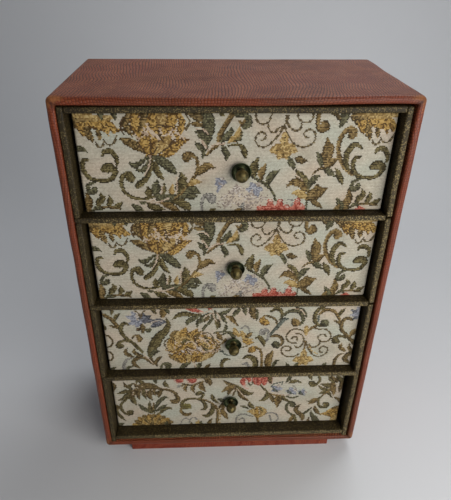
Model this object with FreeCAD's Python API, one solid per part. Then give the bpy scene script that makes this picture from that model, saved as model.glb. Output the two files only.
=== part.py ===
import FreeCAD, Part
import math
import os

Vector = FreeCAD.Vector
backward = Vector(0, 1, 0)

# A small table-top chest of four drawers in covered board. Sizes are in millimetres.
# The origin is the centre of the plinth's underside, +Z is up, and the drawers open towards -Y.

# Casing: greyboard, covered outside and round its mouth with embossed leatherette
case_width = 180.0
case_depth = 96.0
case_height = 248.4
case_board = 3.0
cover = 0.5             # leatherette with its paste
case_corner = 2.5       # corners of the outline, seen from the front
case_edge = 1.2         # covered edges of the front and the back
mouth_edge = 1.1        # covered inner edge of the mouth
cover_turn = 10.0       # leatherette turned in behind the mouth's edge
bevel_share = 0.6       # bevel of a covered board, as a share of its rounding

# Plinth: a smaller covered pad under the casing
plinth_height = 7.5
plinth_side_inset = 17.5
plinth_setback = 2.5
plinth_corner = 1.0

# Carcass: paper-covered boards that divide the casing into compartments
liner = 3.2
liner_edge = 0.8        # rounded front edges of the boards
liner_setback = 0.3     # boards behind the casing's front edge
back_liner = 1.6
gap_left = 0.3          # between the casing's mouth and the boards
gap_right = 1.3
gap_floor = 2.4
gap_top = 0.8
upright_break = 1.2     # open joint between two right-hand uprights, level with a shelf
over_upright = 3        # the shelf, counted from the top, that lies over its right-hand upright

# Drawers, from the top one down
drawer_recess = (6.5, 6.5, 6.5, 8.8)    # front face behind the casing's front edge
drawer_shift = (0.3, 0.2, 0.0, -0.9)    # sideways, from the middle of the compartment
knob_across = (2.6, 1.1, 1.1, 1.3)      # knob's place on the front, from its middle
knob_above = (-3.6, -4.8, -4.9, -2.3)

front_side_gap = 1.7
front_top_gap = 1.1
front_lift = 0.4        # front above the shelf
front_board = 3.0
cloth = 0.5
cloth_turn = 7.0        # cloth turned over onto the back of the front board
front_corner = 1.5
front_edge = 1.2

tray_lift = 0.3         # running gap under the tray
tray_side_gap = 0.6     # tray's side behind the end of the front
tray_drop = 3.5         # tray's rim below the top of the front
tray_back_gap = 0.3     # left behind a drawer that is pushed right in
tray_wall = 2.0
tray_floor = 1.8
tray_edge = 0.7

# Knob: a turned ball on a neck, a pressed dish behind it and a split pin through the front
ball_diameter = 6.9
ball_reach = 7.0        # ball's centre ahead of the front face
neck_diameter = 2.8
collar_diameter = 4.4
collar_height = 0.8
dish_diameter = 10.6
dish_flat = 6.0         # diameter of the flat that lies on the cloth
dish_depth = 2.2
dish_sheet = 0.5
dish_bulge = 0.45       # how far the dish's wall bows out from straight
pin_diameter = 1.6
pin_slack = 0.2         # hole for the pin, wider than it
socket_depth = 3.0
socket_slack = 0.1
leg_length = 7.0
leg_width = 2.0
leg_sheet = 0.5

# Places worked out from the sizes above
compartments = len(drawer_recess)
front_y = -case_depth / 2
case_bottom = plinth_height
case_top = case_bottom + case_height
mouth_wall = case_board + 2 * cover
mouth_x = case_width / 2 - mouth_wall
mouth_bottom = case_bottom + mouth_wall
mouth_top = case_top - mouth_wall
board_x = case_width / 2 - cover - case_board
board_bottom = case_bottom + cover + case_board
board_top = case_top - cover - case_board
board_back = case_depth / 2 - cover - case_board

liner_y = front_y + liner_setback
back_y = board_back - back_liner
outer_left = -mouth_x + gap_left
outer_right = mouth_x - gap_right
inner_left = outer_left + liner
inner_right = outer_right - liner
middle_x = (inner_left + inner_right) / 2
floor_top = mouth_bottom + gap_floor + liner
liner_top = mouth_top - gap_top
stack_height = liner_top - liner - floor_top
opening_height = (stack_height - (compartments - 1) * liner) / compartments
opening_step = opening_height + liner

front_width = inner_right - inner_left - 2 * front_side_gap
front_height = opening_height - front_lift - front_top_gap
front_depth = front_board + 2 * cloth
drawer_back = back_y - tray_back_gap
drawer_length = drawer_back - front_y - max(drawer_recess)


def block(x0, x1, y0, y1, z0, z1):
    return Part.makeBox(x1 - x0, y1 - y0, z1 - z0, Vector(x0, y0, z0))


def edges_along(shape, axis):
    """Straight edges of a shape that run along x, y or z."""
    chosen = []
    for edge in shape.Edges:
        first, last = edge.Vertexes[0].Point, edge.Vertexes[-1].Point
        run = last.sub(first)
        if run.Length > 1e-6 and abs(abs(getattr(run, axis)) - run.Length) < 1e-6:
            chosen.append(edge)
    return chosen


def edges_at_y(shape, y, half_width=None):
    """Edges that lie in the plane at y, on request only those within half_width of x = 0."""
    chosen = []
    for edge in shape.Edges:
        box = edge.BoundBox
        in_plane = abs(box.YMin - y) < 1e-6 and abs(box.YMax - y) < 1e-6
        if in_plane and (half_width is None or max(-box.XMin, box.XMax) < half_width + 1e-6):
            chosen.append(edge)
    return chosen


def wrapped_block(box, corner, edge, faces_y):
    """Covered block: outline corners rounded, and the edges of the faces at each y in faces_y."""
    shape = block(*box)
    shape = shape.makeFillet(corner, edges_along(shape, "y"))
    for y in faces_y:
        shape = shape.makeFillet(edge, edges_at_y(shape, y))
    return shape


def bare_board(box, corner, edge, faces_y):
    """Board under a covering, bevelled where the covering over it is rounded."""
    shape = block(*box)
    shape = shape.makeChamfer(bevel_share * corner, edges_along(shape, "y"))
    for y in faces_y:
        shape = shape.makeChamfer(bevel_share * edge, edges_at_y(shape, y))
    return shape


def round_front(shape, radius, axis):
    """Round the front edges of a board that run along an axis."""
    y = shape.BoundBox.YMin
    edges = [edge for edge in edges_along(shape, axis) if abs(edge.BoundBox.YMax - y) < 1e-6]
    return shape.makeFillet(radius, edges)


def round_rim(shape, radius, axis):
    """Round the long top edges of a tray wall."""
    top = shape.BoundBox.ZMax
    edges = [edge for edge in edges_along(shape, axis) if abs(edge.BoundBox.ZMin - top) < 1e-6]
    return shape.makeFillet(radius, edges)


def casing_boards():
    """Greyboard casing before it is parted into panels, open at the front."""
    half_x, half_y = case_width / 2 - cover, case_depth / 2 - cover
    box = (-half_x, half_x, -half_y, half_y, case_bottom + cover, case_top - cover)
    shell = bare_board(box, case_corner - cover, case_edge - cover, (-half_y, half_y))
    shell = shell.cut(block(-board_x, board_x, -half_y, board_back, board_bottom, board_top))
    return shell.makeChamfer(bevel_share * (mouth_edge - cover), edges_at_y(shell, -half_y, board_x))


def casing():
    """The five panels of the casing and the leatherette that covers them."""
    boards = casing_boards()
    half_x, half_y = case_width / 2, case_depth / 2
    pieces = {
        "case_top": block(-half_x, half_x, -half_y, half_y, board_top, case_top),
        "case_bottom": block(-half_x, half_x, -half_y, half_y, case_bottom, board_bottom),
        "case_left": block(-half_x, -board_x, -half_y, half_y, board_bottom, board_top),
        "case_right": block(board_x, half_x, -half_y, half_y, board_bottom, board_top),
        "case_back": block(-board_x, board_x, board_back, half_y, board_bottom, board_top),
    }
    for name, region in pieces.items():
        pieces[name] = boards.common(region)
    box = (-half_x, half_x, -half_y, half_y, case_bottom, case_top)
    skin = wrapped_block(box, case_corner, case_edge, (-half_y, half_y))
    skin = skin.cut(block(-mouth_x, mouth_x, -half_y, board_back, mouth_bottom, mouth_top))
    skin = skin.makeFillet(mouth_edge, edges_at_y(skin, -half_y, mouth_x))
    behind_turn = block(-board_x, board_x, front_y + cover_turn, board_back, board_bottom, board_top)
    pieces["case_cover"] = skin.cut([behind_turn, boards])
    return pieces


def plinth():
    half_x = case_width / 2 - plinth_side_inset
    half_y = case_depth / 2 - plinth_setback
    pad = block(-half_x, half_x, -half_y, half_y, 0, plinth_height)
    return {"plinth": pad.makeFillet(plinth_corner, edges_along(pad, "z"))}


def opening_floor(number):
    """Height of the floor of compartment 1, at the top, to the last, at the bottom."""
    return floor_top + (compartments - number) * opening_step


def level_board(left, right, low):
    board = block(left, right, liner_y, back_y, low, low + liner)
    return round_front(board, liner_edge, "x")


def upright_board(left, low, high):
    board = block(left, left + liner, liner_y, back_y, low, high)
    return round_front(board, liner_edge, "z")


def carcass():
    """Shelves, uprights, floor, top and back of the paper-covered lining."""
    pieces = {
        "liner_top": level_board(inner_left, inner_right, liner_top - liner),
        "liner_floor": level_board(inner_left, inner_right, floor_top - liner),
        "liner_back": block(outer_left, outer_right, back_y, board_back, mouth_bottom, liner_top),
    }
    right_low = liner_top
    for number in range(1, compartments + 1):
        floor = opening_floor(number)
        last = number == compartments
        left_top = liner_top if number == 1 else floor + opening_height
        left_low = mouth_bottom if last else floor
        pieces["liner_left_%d" % number] = upright_board(outer_left, left_low, left_top)
        right_top = right_low
        if last:
            right_low = mouth_bottom
        elif number == over_upright:
            right_low = floor
        else:
            right_low = floor - liner / 2 + upright_break / 2
        pieces["liner_right_%d" % number] = upright_board(inner_right, right_low, right_top)
        right_low = right_low - (liner if number == over_upright else upright_break)
        if not last:
            reach = outer_right if number == over_upright else inner_right
            pieces["shelf_%d" % number] = level_board(outer_left, reach, floor - liner)
    return pieces


def turned(outline, x, z):
    """Solid of revolution about the line along y through x, z, from radius and height pairs."""
    edges = []
    for path in outline:
        points = [Vector(x + radius, height, z) for radius, height in path]
        if len(points) == 2:
            edges.append(Part.LineSegment(*points).toShape())
        else:
            edges.append(Part.Arc(*points).toShape())
    face = Part.Face(Part.Wire(edges))
    return face.revolve(Vector(x, 0, z), backward, 360)


def knob(x, y, z):
    """Ball, neck and collar in one turning, with a blind socket for the pin."""
    base = -dish_sheet
    ball, neck = ball_diameter / 2, neck_diameter / 2
    collar, socket = collar_diameter / 2, (pin_diameter + socket_slack) / 2
    centre = -ball_reach
    neck_end = centre + math.sqrt(ball ** 2 - neck ** 2)
    collar_end = base - collar_height
    waist = (neck, collar_end - (collar - neck))
    outline = [
        ((socket, base), (collar, base)),
        ((collar, base), (collar, collar_end)),
        ((collar, collar_end), waist),
        (waist, (neck, neck_end)),
        ((neck, neck_end), (ball, centre), (0, centre - ball)),
        ((0, centre - ball), (0, base - socket_depth)),
        ((0, base - socket_depth), (socket, base - socket_depth)),
        ((socket, base - socket_depth), (socket, base)),
    ]
    shape = turned(outline, x, z)
    shape.translate(Vector(0, y, 0))
    return shape


def dish(x, y, z):
    """Pressed dish with a bowed wall, flat where it lies on the cloth."""
    hole, flat, rim = (pin_diameter + pin_slack) / 2, dish_flat / 2, dish_diameter / 2
    run, rise = rim - flat, dish_depth
    slope = math.hypot(run, rise)
    bow_x, bow_y = dish_bulge * rise / slope, dish_bulge * run / slope
    wall_x, wall_y = dish_sheet * rise / slope, dish_sheet * run / slope
    middle = ((flat + rim) / 2 + bow_x, -rise / 2 + bow_y)
    inside = (middle[0] - wall_x, middle[1] - wall_y)
    inner_rim = (rim - dish_sheet, -dish_depth)
    inner_flat = (flat - wall_x / 2, -dish_sheet)
    outline = [
        ((hole, 0), (flat, 0)),
        ((flat, 0), middle, (rim, -dish_depth)),
        ((rim, -dish_depth), inner_rim),
        (inner_rim, inside, inner_flat),
        (inner_flat, (hole, -dish_sheet)),
        ((hole, -dish_sheet), (hole, 0)),
    ]
    shape = turned(outline, x, z)
    shape.translate(Vector(0, y, 0))
    return shape


def split_pin(x, y, z):
    """Pin through the front, with its two legs bent flat against the back of the board."""
    board_rear = y + cloth + front_board
    tip = y - dish_sheet - socket_depth + socket_slack
    shank_length = board_rear + leg_sheet - tip
    shank = Part.makeCylinder(pin_diameter / 2, shank_length, Vector(x, tip, z), backward)
    legs = block(x - leg_length, x + leg_length, board_rear, board_rear + leg_sheet,
                 z - leg_width / 2, z + leg_width / 2)
    legs = legs.makeFillet(leg_width * 0.45, edges_along(legs, "y"))
    return shank.fuse(legs).removeSplitter()


def drawer(number):
    """One drawer: covered front, tray of four boards, knob, dish and split pin."""
    index = number - 1
    floor = opening_floor(number)
    x = middle_x + drawer_shift[index]
    y = front_y + drawer_recess[index]
    low, high = floor + front_lift, floor + front_lift + front_height
    left, right = x - front_width / 2, x + front_width / 2
    knob_x = x + knob_across[index]
    knob_z = (low + high) / 2 + knob_above[index]
    hole_radius = (pin_diameter + pin_slack) / 2
    hole = Part.makeCylinder(hole_radius, front_depth, Vector(knob_x, y, knob_z), backward)

    wrapped = wrapped_block((left, right, y, y + front_depth, low, high), front_corner, front_edge, (y,))
    board_y = y + cloth
    board_rear = board_y + front_board
    board_box = (left + cloth, right - cloth, board_y, board_rear, low + cloth, high - cloth)
    board = bare_board(board_box, front_corner - cloth, front_edge - cloth, (board_y,))
    window = block(left + cloth_turn, right - cloth_turn, board_rear, y + front_depth,
                   low + cloth_turn, high - cloth_turn)

    tray_y, tray_end = y + front_depth, y + drawer_length
    tray_left, tray_right = left + tray_side_gap, right - tray_side_gap
    tray_low, tray_high = floor + tray_lift, high - tray_drop
    in_left, in_right = tray_left + tray_wall, tray_right - tray_wall
    side_left = block(tray_left, in_left, tray_y, tray_end, tray_low, tray_high)
    side_right = block(in_right, tray_right, tray_y, tray_end, tray_low, tray_high)
    back = block(in_left, in_right, tray_end - tray_wall, tray_end, tray_low, tray_high)
    pieces = {
        "front": board.cut(hole),
        "cloth": wrapped.cut([board, window, hole]),
        "side_left": round_rim(side_left, tray_edge, "y"),
        "side_right": round_rim(side_right, tray_edge, "y"),
        "back": round_rim(back, tray_edge, "x"),
        "floor": block(in_left, in_right, tray_y, tray_end - tray_wall, tray_low, tray_low + tray_floor),
        "knob": knob(knob_x, y, knob_z),
        "dish": dish(knob_x, y, knob_z),
        "split_pin": split_pin(knob_x, y, knob_z),
    }
    return {"drawer_%d_%s" % (number, name): shape for name, shape in pieces.items()}


def chest():
    pieces = {}
    pieces.update(casing())
    pieces.update(plinth())
    pieces.update(carcass())
    for number in range(1, compartments + 1):
        pieces.update(drawer(number))
    return pieces


os.makedirs("parts", exist_ok=True)
for name, shape in chest().items():
    print("%-24s solids %d  volume %9.1f mm3" % (name, len(shape.Solids), shape.Volume))
    shape.exportStep("parts/%s.step" % name)
print("opening height %.2f  front %.2f x %.2f  drawer length %.2f"
      % (opening_height, front_width, front_height, drawer_length))
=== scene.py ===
import math
import bmesh
import bpy
import numpy as np
from mathutils import Matrix, Vector


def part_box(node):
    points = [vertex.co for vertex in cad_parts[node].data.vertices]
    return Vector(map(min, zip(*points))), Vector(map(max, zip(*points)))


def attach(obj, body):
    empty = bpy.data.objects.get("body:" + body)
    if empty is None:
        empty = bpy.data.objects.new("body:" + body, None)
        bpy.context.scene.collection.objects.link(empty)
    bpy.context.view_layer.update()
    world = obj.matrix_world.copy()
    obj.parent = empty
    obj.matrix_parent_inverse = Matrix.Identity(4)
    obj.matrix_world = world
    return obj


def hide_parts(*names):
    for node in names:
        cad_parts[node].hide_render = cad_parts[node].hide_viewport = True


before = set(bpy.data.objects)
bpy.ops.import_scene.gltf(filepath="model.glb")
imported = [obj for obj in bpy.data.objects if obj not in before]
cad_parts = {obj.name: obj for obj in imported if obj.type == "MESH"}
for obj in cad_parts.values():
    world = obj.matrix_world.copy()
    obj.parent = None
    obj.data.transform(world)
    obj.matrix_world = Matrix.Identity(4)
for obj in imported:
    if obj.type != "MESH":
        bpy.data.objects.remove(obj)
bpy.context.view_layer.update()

mm = 0.001


# node trees, written as sums

class Wire:
    def __init__(self, tree, socket):
        self.tree, self.socket = tree, socket

    def maths(self, operation, first, second=0.0):
        return addNode(self.tree, "ShaderNodeMath", {"operation": operation}, {0: first, 1: second})

    def __add__(self, other):
        return self.maths("ADD", self, other)

    def __sub__(self, other):
        return self.maths("SUBTRACT", self, other)

    def __rsub__(self, other):
        return self.maths("SUBTRACT", other, self)

    def __mul__(self, other):
        return self.maths("MULTIPLY", self, other)

    __radd__ = __add__
    __rmul__ = __mul__

    def sine(self):
        return self.maths("SINE", self)

    def floor(self):
        return self.maths("FLOOR", self)

    def fraction(self):
        return self.maths("FRACT", self)

    def ramp(self, low, high, start=0.0, end=1.0):      # soft step from one level to another
        return addNode(self.tree, "ShaderNodeMapRange", {"interpolation_type": "SMOOTHSTEP"},
                       {"Value": self, "From Min": low, "From Max": high, "To Min": start, "To Max": end})


def addNode(tree, kind, settings=None, sockets=None, output=0):
    node = tree.nodes.new(kind)
    for name, value in (settings or {}).items():
        setattr(node, name, value)
    for name, value in (sockets or {}).items():
        if isinstance(value, Wire):
            tree.links.new(value.socket, node.inputs[name])
        else:
            node.inputs[name].default_value = value
    return Wire(tree, node.outputs[output])


def colour(r, g, b):      # from the 0 to 255 of a paint chart to linear light
    shares = (r / 255, g / 255, b / 255)
    return tuple(v / 12.92 if v < 0.04045 else ((v + 0.055) / 1.055) ** 2.4 for v in shares) + (1,)


class Finish:
    def __init__(self, name, **constants):
        self.material = bpy.data.materials.new(name)
        self.material.use_nodes = True
        self.tree = self.material.node_tree
        self.shader = self.tree.nodes["Principled BSDF"]
        for socket, value in constants.items():
            self.shader.inputs[socket.replace("_", " ")].default_value = value
        self.place = self.add("ShaderNodeTexCoord", output=3)

    def add(self, kind, settings=None, sockets=None, output=0):
        return addNode(self.tree, kind, settings, sockets, output)

    def along(self, axis):      # how far along the x, y or z line a place lies
        return self.add("ShaderNodeSeparateXYZ", None, {"Vector": self.place}, "xyz".index(axis))

    def noise(self, size, detail=2.0, at=None):      # size in mm
        sockets = {"Vector": at or self.place, "Scale": 1 / (size * mm), "Detail": detail}
        return self.add("ShaderNodeTexNoise", None, sockets)

    def mix(self, share, first, second, blend="MIX"):
        settings = {"data_type": "RGBA", "blend_type": blend, "clamp_factor": True}
        return self.add("ShaderNodeMix", settings, {0: share, 6: first, 7: second}, output=2)

    def stretch(self, scale, at=None):
        return self.add("ShaderNodeVectorMath", {"operation": "MULTIPLY"}, {0: at or self.place, 1: scale})

    def shift(self, at, by, amount):      # moves places by a coloured noise
        away = self.add("ShaderNodeVectorMath", {"operation": "SUBTRACT"}, {0: by, 1: (0.5, 0.5, 0.5)})
        away = self.add("ShaderNodeVectorMath", {"operation": "SCALE"}, {0: away, "Scale": amount})
        return self.add("ShaderNodeVectorMath", {"operation": "ADD"}, {0: at, 1: away})

    def drive(self, **wires):
        for socket, wire in wires.items():
            self.tree.links.new(wire.socket, self.shader.inputs[socket.replace("_", " ")])

    def raised(self, height, depth):      # depth in mm
        sockets = {"Height": height, "Distance": depth * mm, "Strength": 1.0}
        self.drive(Normal=self.add("ShaderNodeBump", None, sockets))


# finishes

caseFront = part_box("case_cover")[0][1]
leather = {"body": colour(130, 46, 24), "deep": colour(50, 13, 5), "crest": colour(198, 124, 84),
           "cloud": colour(96, 38, 20), "worn": colour(166, 112, 66), "chip": colour(224, 206, 178),
           "scale": 1.45, "swirl": 0.17, "relief": 0.24, "roll": 2.2}
flatUnit = 0.01      # one step of the cover's flat drawing for each mm


def leatheretteFinish(name, flat="cut"):      # flat: the cover's own flat drawing, or None for a plain pad
    f = Finish(name, Specular_IOR_Level=0.22, Coat_Roughness=0.2)
    unit = flatUnit / mm
    place = f.add("ShaderNodeUVMap", {"uv_map": flat}) if flat else f.stretch((unit, unit, unit))
    drift = f.add("ShaderNodeTexNoise", None, {"Vector": place, "Scale": 2.2, "Detail": 1.0}, output=1)
    swirled = f.shift(place, drift, leather["swirl"])
    rows = f.stretch((1.0, 1.1, 1.1), swirled)
    sizes = {"Vector": rows, "Scale": 1 / (leather["scale"] * flatUnit), "Randomness": 0.38}
    kind = {"voronoi_dimensions": "2D" if flat else "3D"}
    tint = f.add("ShaderNodeTexVoronoi", {**kind, "feature": "F1"}, sizes, output=1)
    groove = f.add("ShaderNodeTexVoronoi", {**kind, "feature": "DISTANCE_TO_EDGE"}, sizes)
    dome = groove.ramp(0.0, 0.3)
    roll = 1 - f.along("y").ramp(caseFront, caseFront + leather["roll"] * mm)      # smoother front edges
    cloud = f.noise(34, 3)
    patch = f.noise(9, 3)
    fine = f.noise(1.1, 4)
    wear = f.add("ShaderNodeAttribute", {"attribute_name": "wear"}, None, output=2)
    fold = f.add("ShaderNodeAttribute", {"attribute_name": "fold"}, None, output=2)
    rubbed = (wear + (f.noise(5.5, 4) - 0.5) * 1.1 + (fine - 0.5) * 0.5).ramp(0.6, 1.0)
    chipped = (wear + (f.noise(2.1, 3) - 0.5) * 1.15).ramp(1.16, 1.2)
    base = f.mix(cloud.ramp(0.3, 0.72), leather["body"], leather["cloud"])
    tinted = f.add("ShaderNodeSeparateColor", None, {"Color": tint})
    polish = (tinted * 0.35 + 0.6) * (patch.ramp(0.3, 0.7) * 0.5 + 0.5)
    base = f.mix(dome * polish * (1 - roll * 0.74), base, leather["crest"])
    base = f.mix((1 - groove.ramp(0.03, 0.24)) * (0.85 - roll * 0.4), base, leather["deep"])
    base = f.mix(roll * 0.08, base, leather["worn"])
    base = f.mix(roll * fine * 0.56, base, leather["deep"])
    base = f.mix(rubbed * 0.45, base, leather["worn"])
    base = f.mix(fold * 0.8, base, leather["deep"])
    base = f.mix(chipped, base, leather["chip"])
    base = base if flat else f.mix(0.6, base, leather["body"])      # the plinth's scales are pressed flat
    f.drive(Base_Color=base, Roughness=0.42 + cloud * 0.16 + rubbed * 0.2 - roll * 0.12,
            Coat_Weight=0.08 - rubbed * 0.07 + roll * 0.06)
    scales = dome * (1 - rubbed * 0.5) * (1 - roll * 0.35)
    f.raised(scales + fine * (0.12 + roll * 0.25), leather["relief"])
    return f.material


# lip is a painted highlight for the lining's front edges; the left and top ranges mark where painted shade
# dims it
paper = {"body": colour(64, 53, 28), "deep": colour(38, 30, 13), "shine": colour(118, 102, 62),
         "lip": colour(144, 127, 86), "stain": colour(120, 84, 44), "grain": 0.78, "relief": 0.1,
         "crumple": 0.9, "crumples": 700, "lipStart": 0.6, "lipEnd": 1.8, "shadedLeft": (-84, -50),
         "shadedUnderTop": (241, 246)}


def goldPaperFinish():
    f = Finish("goldPaper", Specular_IOR_Level=0.25)
    sockets = {"Vector": f.place, "Scale": paper["crumples"], "Detail": 1.0}
    drift = f.add("ShaderNodeTexNoise", None, sockets, output=1)
    blob = f.shift(f.place, drift, paper["crumple"] * mm)
    grain = f.add("ShaderNodeTexVoronoi", {"feature": "SMOOTH_F1"},
                  {"Vector": blob, "Scale": 1 / (paper["grain"] * mm), "Smoothness": 0.3})
    pebble = 1 - grain.ramp(0.12, 0.62)
    cloud = f.noise(22, 3)
    soil = f.noise(3.2, 3)
    left, leftEnd = (x * mm for x in paper["shadedLeft"])
    under, top = (z * mm for z in paper["shadedUnderTop"])
    # painted highlight on the front edges, standing in for the light that reaches them past the shaded
    # recesses; painted shade dims it on the left and under the top
    lip = 1 - f.along("y").ramp(caseFront + paper["lipStart"] * mm, caseFront + paper["lipEnd"] * mm)
    lip = lip * f.along("x").ramp(left, leftEnd, 0.2, 1.0) * f.along("z").ramp(under, top, 1.0, 0.3)
    base = f.mix(pebble + (soil - 0.5) * 0.7, paper["deep"], paper["body"])
    base = f.mix(pebble.ramp(0.5, 0.95) * (0.2 + soil * 0.6), base, paper["shine"])
    # mixes in the painted highlight of the front edges, speckled by the pebbles
    base = f.mix(lip * (0.1 + pebble.ramp(0.25, 0.85) * 0.9), base, paper["lip"])
    base = f.mix(cloud.ramp(0.5, 0.75) * 0.45, base, paper["stain"], "MULTIPLY")
    f.drive(Base_Color=base, Metallic=pebble * 0.12, Roughness=0.62 - pebble * 0.12)
    f.raised(pebble + soil * 0.2, paper["relief"])
    return f.material


pulp = {"dark": colour(122, 112, 96), "pale": colour(158, 148, 128), "stain": colour(132, 108, 76),
        "relief": 0.06}


def greyboardFinish():
    f = Finish("greyboard", Specular_IOR_Level=0.25)
    fleck = f.noise(0.5, 5)
    layer = f.noise(9, 3)
    base = f.mix(fleck.ramp(0.35, 0.7), pulp["dark"], pulp["pale"])
    base = f.mix(layer * 0.4, base, pulp["stain"])
    f.drive(Base_Color=base, Roughness=0.86 + fleck * 0.08)
    f.raised(fleck + layer * 0.3, pulp["relief"])
    return f.material


thread = {"shadow": colour(96, 84, 62), "soil": colour(176, 150, 106), "relief": 0.05}


def clothFinish():
    f = Finish("tapestry", Specular_IOR_Level=0.2, Sheen_Weight=0.04, Sheen_Roughness=0.45)
    yarn = f.add("ShaderNodeAttribute", {"attribute_name": "yarn"})
    twist = f.noise(0.22, 3, f.stretch((1.0, 1.0, 2.6)))
    soil = f.noise(16, 3)
    base = f.mix(twist.ramp(0.3, 0.75, 0.0, 0.34), yarn, thread["shadow"], "MULTIPLY")
    base = f.mix(soil.ramp(0.5, 0.78) * 0.22, base, thread["soil"], "MULTIPLY")
    f.drive(Base_Color=base, Roughness=0.58 + twist * 0.2)
    f.raised(twist, thread["relief"])
    return f.material


def brassFinish(name, bright, tarnish, green, roughness):
    f = Finish(name, Metallic=0.85)
    patch = f.noise(2.6, 4)
    pit = f.noise(0.4, 3)
    base = f.mix(patch.ramp(0.36, 0.62), bright, tarnish)
    base = f.mix(f.noise(5, 2).ramp(0.5, 0.72) * 0.55, base, green)
    f.drive(Base_Color=base, Roughness=roughness + patch * 0.16)
    f.raised(pit + patch * 0.5, 0.02)
    return f.material


def floorFinish():
    f = Finish("floor", Specular_IOR_Level=0.2)
    base = f.mix(f.noise(400, 2), colour(206, 207, 209), colour(212, 212, 213))
    f.drive(Base_Color=base, Roughness=0.8 + f.noise(90, 2) * 0.1)
    return f.material


leatherette, plinthLeather = leatheretteFinish("leatherette"), leatheretteFinish("plinthLeather", None)
goldPaper, greyboard, tapestryCloth = goldPaperFinish(), greyboardFinish(), clothFinish()
agedBrass = brassFinish("agedBrass", colour(126, 112, 70), colour(68, 60, 36), colour(70, 72, 46), 0.36)
darkBrass = brassFinish("darkBrass", colour(88, 94, 64), colour(42, 46, 30), colour(60, 78, 52), 0.4)
print("finishes made")


# meshes

def meshPiece(name, points, faces, finish):
    mesh = bpy.data.meshes.new(name)
    mesh.from_pydata([tuple(p) for p in points], [], [tuple(f) for f in faces])
    mesh.materials.append(finish)
    mesh.shade_smooth()
    mesh.validate()
    piece = bpy.data.objects.new(name, mesh)
    bpy.context.scene.collection.objects.link(piece)
    return piece


def outward(piece, merge=True):      # turns every face of a closed shell outwards
    b = bmesh.new()
    b.from_mesh(piece.data)
    if merge:
        bmesh.ops.remove_doubles(b, verts=b.verts, dist=1e-6)
    bmesh.ops.recalc_face_normals(b, faces=b.faces)
    b.to_mesh(piece.data)
    b.free()


def finishPiece(piece, body, slot, *nodes):
    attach(piece, body)
    if nodes:
        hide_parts(*nodes)


waves = ((1.6, 0.5), (1.0, 0.5), (0.75, 0.35), (0.55, 0.25), (0.42, 0.18))      # length and height of each


def ripple(place, size, seed):      # smooth unevenness, mostly between -1 and 1
    rng = np.random.default_rng(seed)
    total = np.zeros(len(place))
    for length, height in waves:
        turn = rng.normal(size=3)
        turn /= np.linalg.norm(turn)
        total += height * np.sin(place @ turn * (2 * math.pi / (size * length)) + rng.uniform(0, 6.28))
    return total


def arcSteps(count):      # angles of a quarter turn
    return np.linspace(0, math.pi / 2, count + 1)


def boxOf(node):      # corners of a solid's box in mm
    return [np.array(v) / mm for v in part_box(node)]


# casing: boards with the leatherette round them

case = {"wall": 4.0, "edge": 1.8, "mouthEdge": 1.1, "corner": 2.5, "mouthCorner": 0.35, "turnIn": 10.0,
        "cover": 0.5, "backRim": ((5.6, 0), (5.0, 0.35)), "frontFlat": (2.15, 2.5), "spacing": 3.0,
        "cornerWear": 5.5, "unevenness": 0.16, "waveLength": 46, "hollow": 0.12, "sag": 0.62, "sagAt": -26,
        "sagWide": 58, "sagDeep": 12, "sagFade": 8, "lift": 0.55, "liftStart": 22, "liftWide": 52,
        "liftEnd": 92, "liftFade": 14, "pucker": 0.28, "puckerWide": 1.4, "foldAt": 0.7, "foldWide": 0.55,
        "pastLow": (0.3, 0.5, 0.05), "pastHigh": (0.3, 0.4, 0.6)}


def coverPath(front, back):      # inset from the outside, depth, and how much it is rubbed
    edge, mouth, wall = case["edge"], case["mouthEdge"], case["wall"]
    turnEnd = front + case["turnIn"]
    turns = arcSteps(4)
    path = [(inset, back - step, 0) for inset, step in case["backRim"]]
    path += [(edge * (1 - math.sin(a)), back - edge * (1 - math.cos(a)), 1) for a in turns]
    path += [(0, y, 0) for y in np.linspace(back - edge, front + edge, 30)[1:-1]]
    path += [(edge * (1 - math.cos(a)), front + edge * (1 - math.sin(a)), 1) for a in turns]
    path += [(inset, front, 0.55) for inset in case["frontFlat"]]
    path += [(wall - mouth * (1 - math.sin(a)), front + mouth * (1 - math.cos(a)), 0.6) for a in turns]
    path += [(wall, y, 0.1) for y in np.linspace(front + mouth, turnEnd, 4)[1:]]
    path += [(wall - case["cover"], y, 0) for y in np.linspace(turnEnd, back - wall + 0.5, 10)]
    return [np.array(v, float) for v in zip(*path)]


def coverRing(inset, left, right, bottom, top):      # once round the box, and how near a corner it is
    radius = case["mouthCorner"] + (case["corner"] - case["mouthCorner"]) * max(0, 1 - inset / case["wall"])
    along, upright = (int(length / case["spacing"]) for length in (right - left, top - bottom))
    ring, corner = [], []
    for (x0, z0), (x1, z1), count in (((left, bottom), (right, bottom), along),
                                      ((right, bottom), (right, top), upright),
                                      ((right, top), (left, top), along),
                                      ((left, top), (left, bottom), upright)):
        dx, dz = np.sign(x1 - x0), np.sign(z1 - z0)
        nx, nz = -dz, dx      # inwards
        ax, az = x0 + (dx + nx) * inset + dx * radius, z0 + (dz + nz) * inset + dz * radius
        bx, bz = x1 + (nx - dx) * inset - dx * radius, z1 + (nz - dz) * inset - dz * radius
        for s in np.linspace(0, 1, count + 1):
            ring.append((ax + (bx - ax) * s, az + (bz - az) * s))
            away = min(s, 1 - s) * count * case["spacing"]
            corner.append(math.exp(-(away / case["cornerWear"]) ** 1.5))
        cx, cz = bx + nx * radius, bz + nz * radius
        for a in arcSteps(4)[1:-1]:
            ring.append((cx - nx * radius * math.cos(a) + dx * radius * math.sin(a),
                         cz - nz * radius * math.cos(a) + dz * radius * math.sin(a)))
            corner.append(1.0)
    return np.array(ring), np.array(corner)


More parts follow.
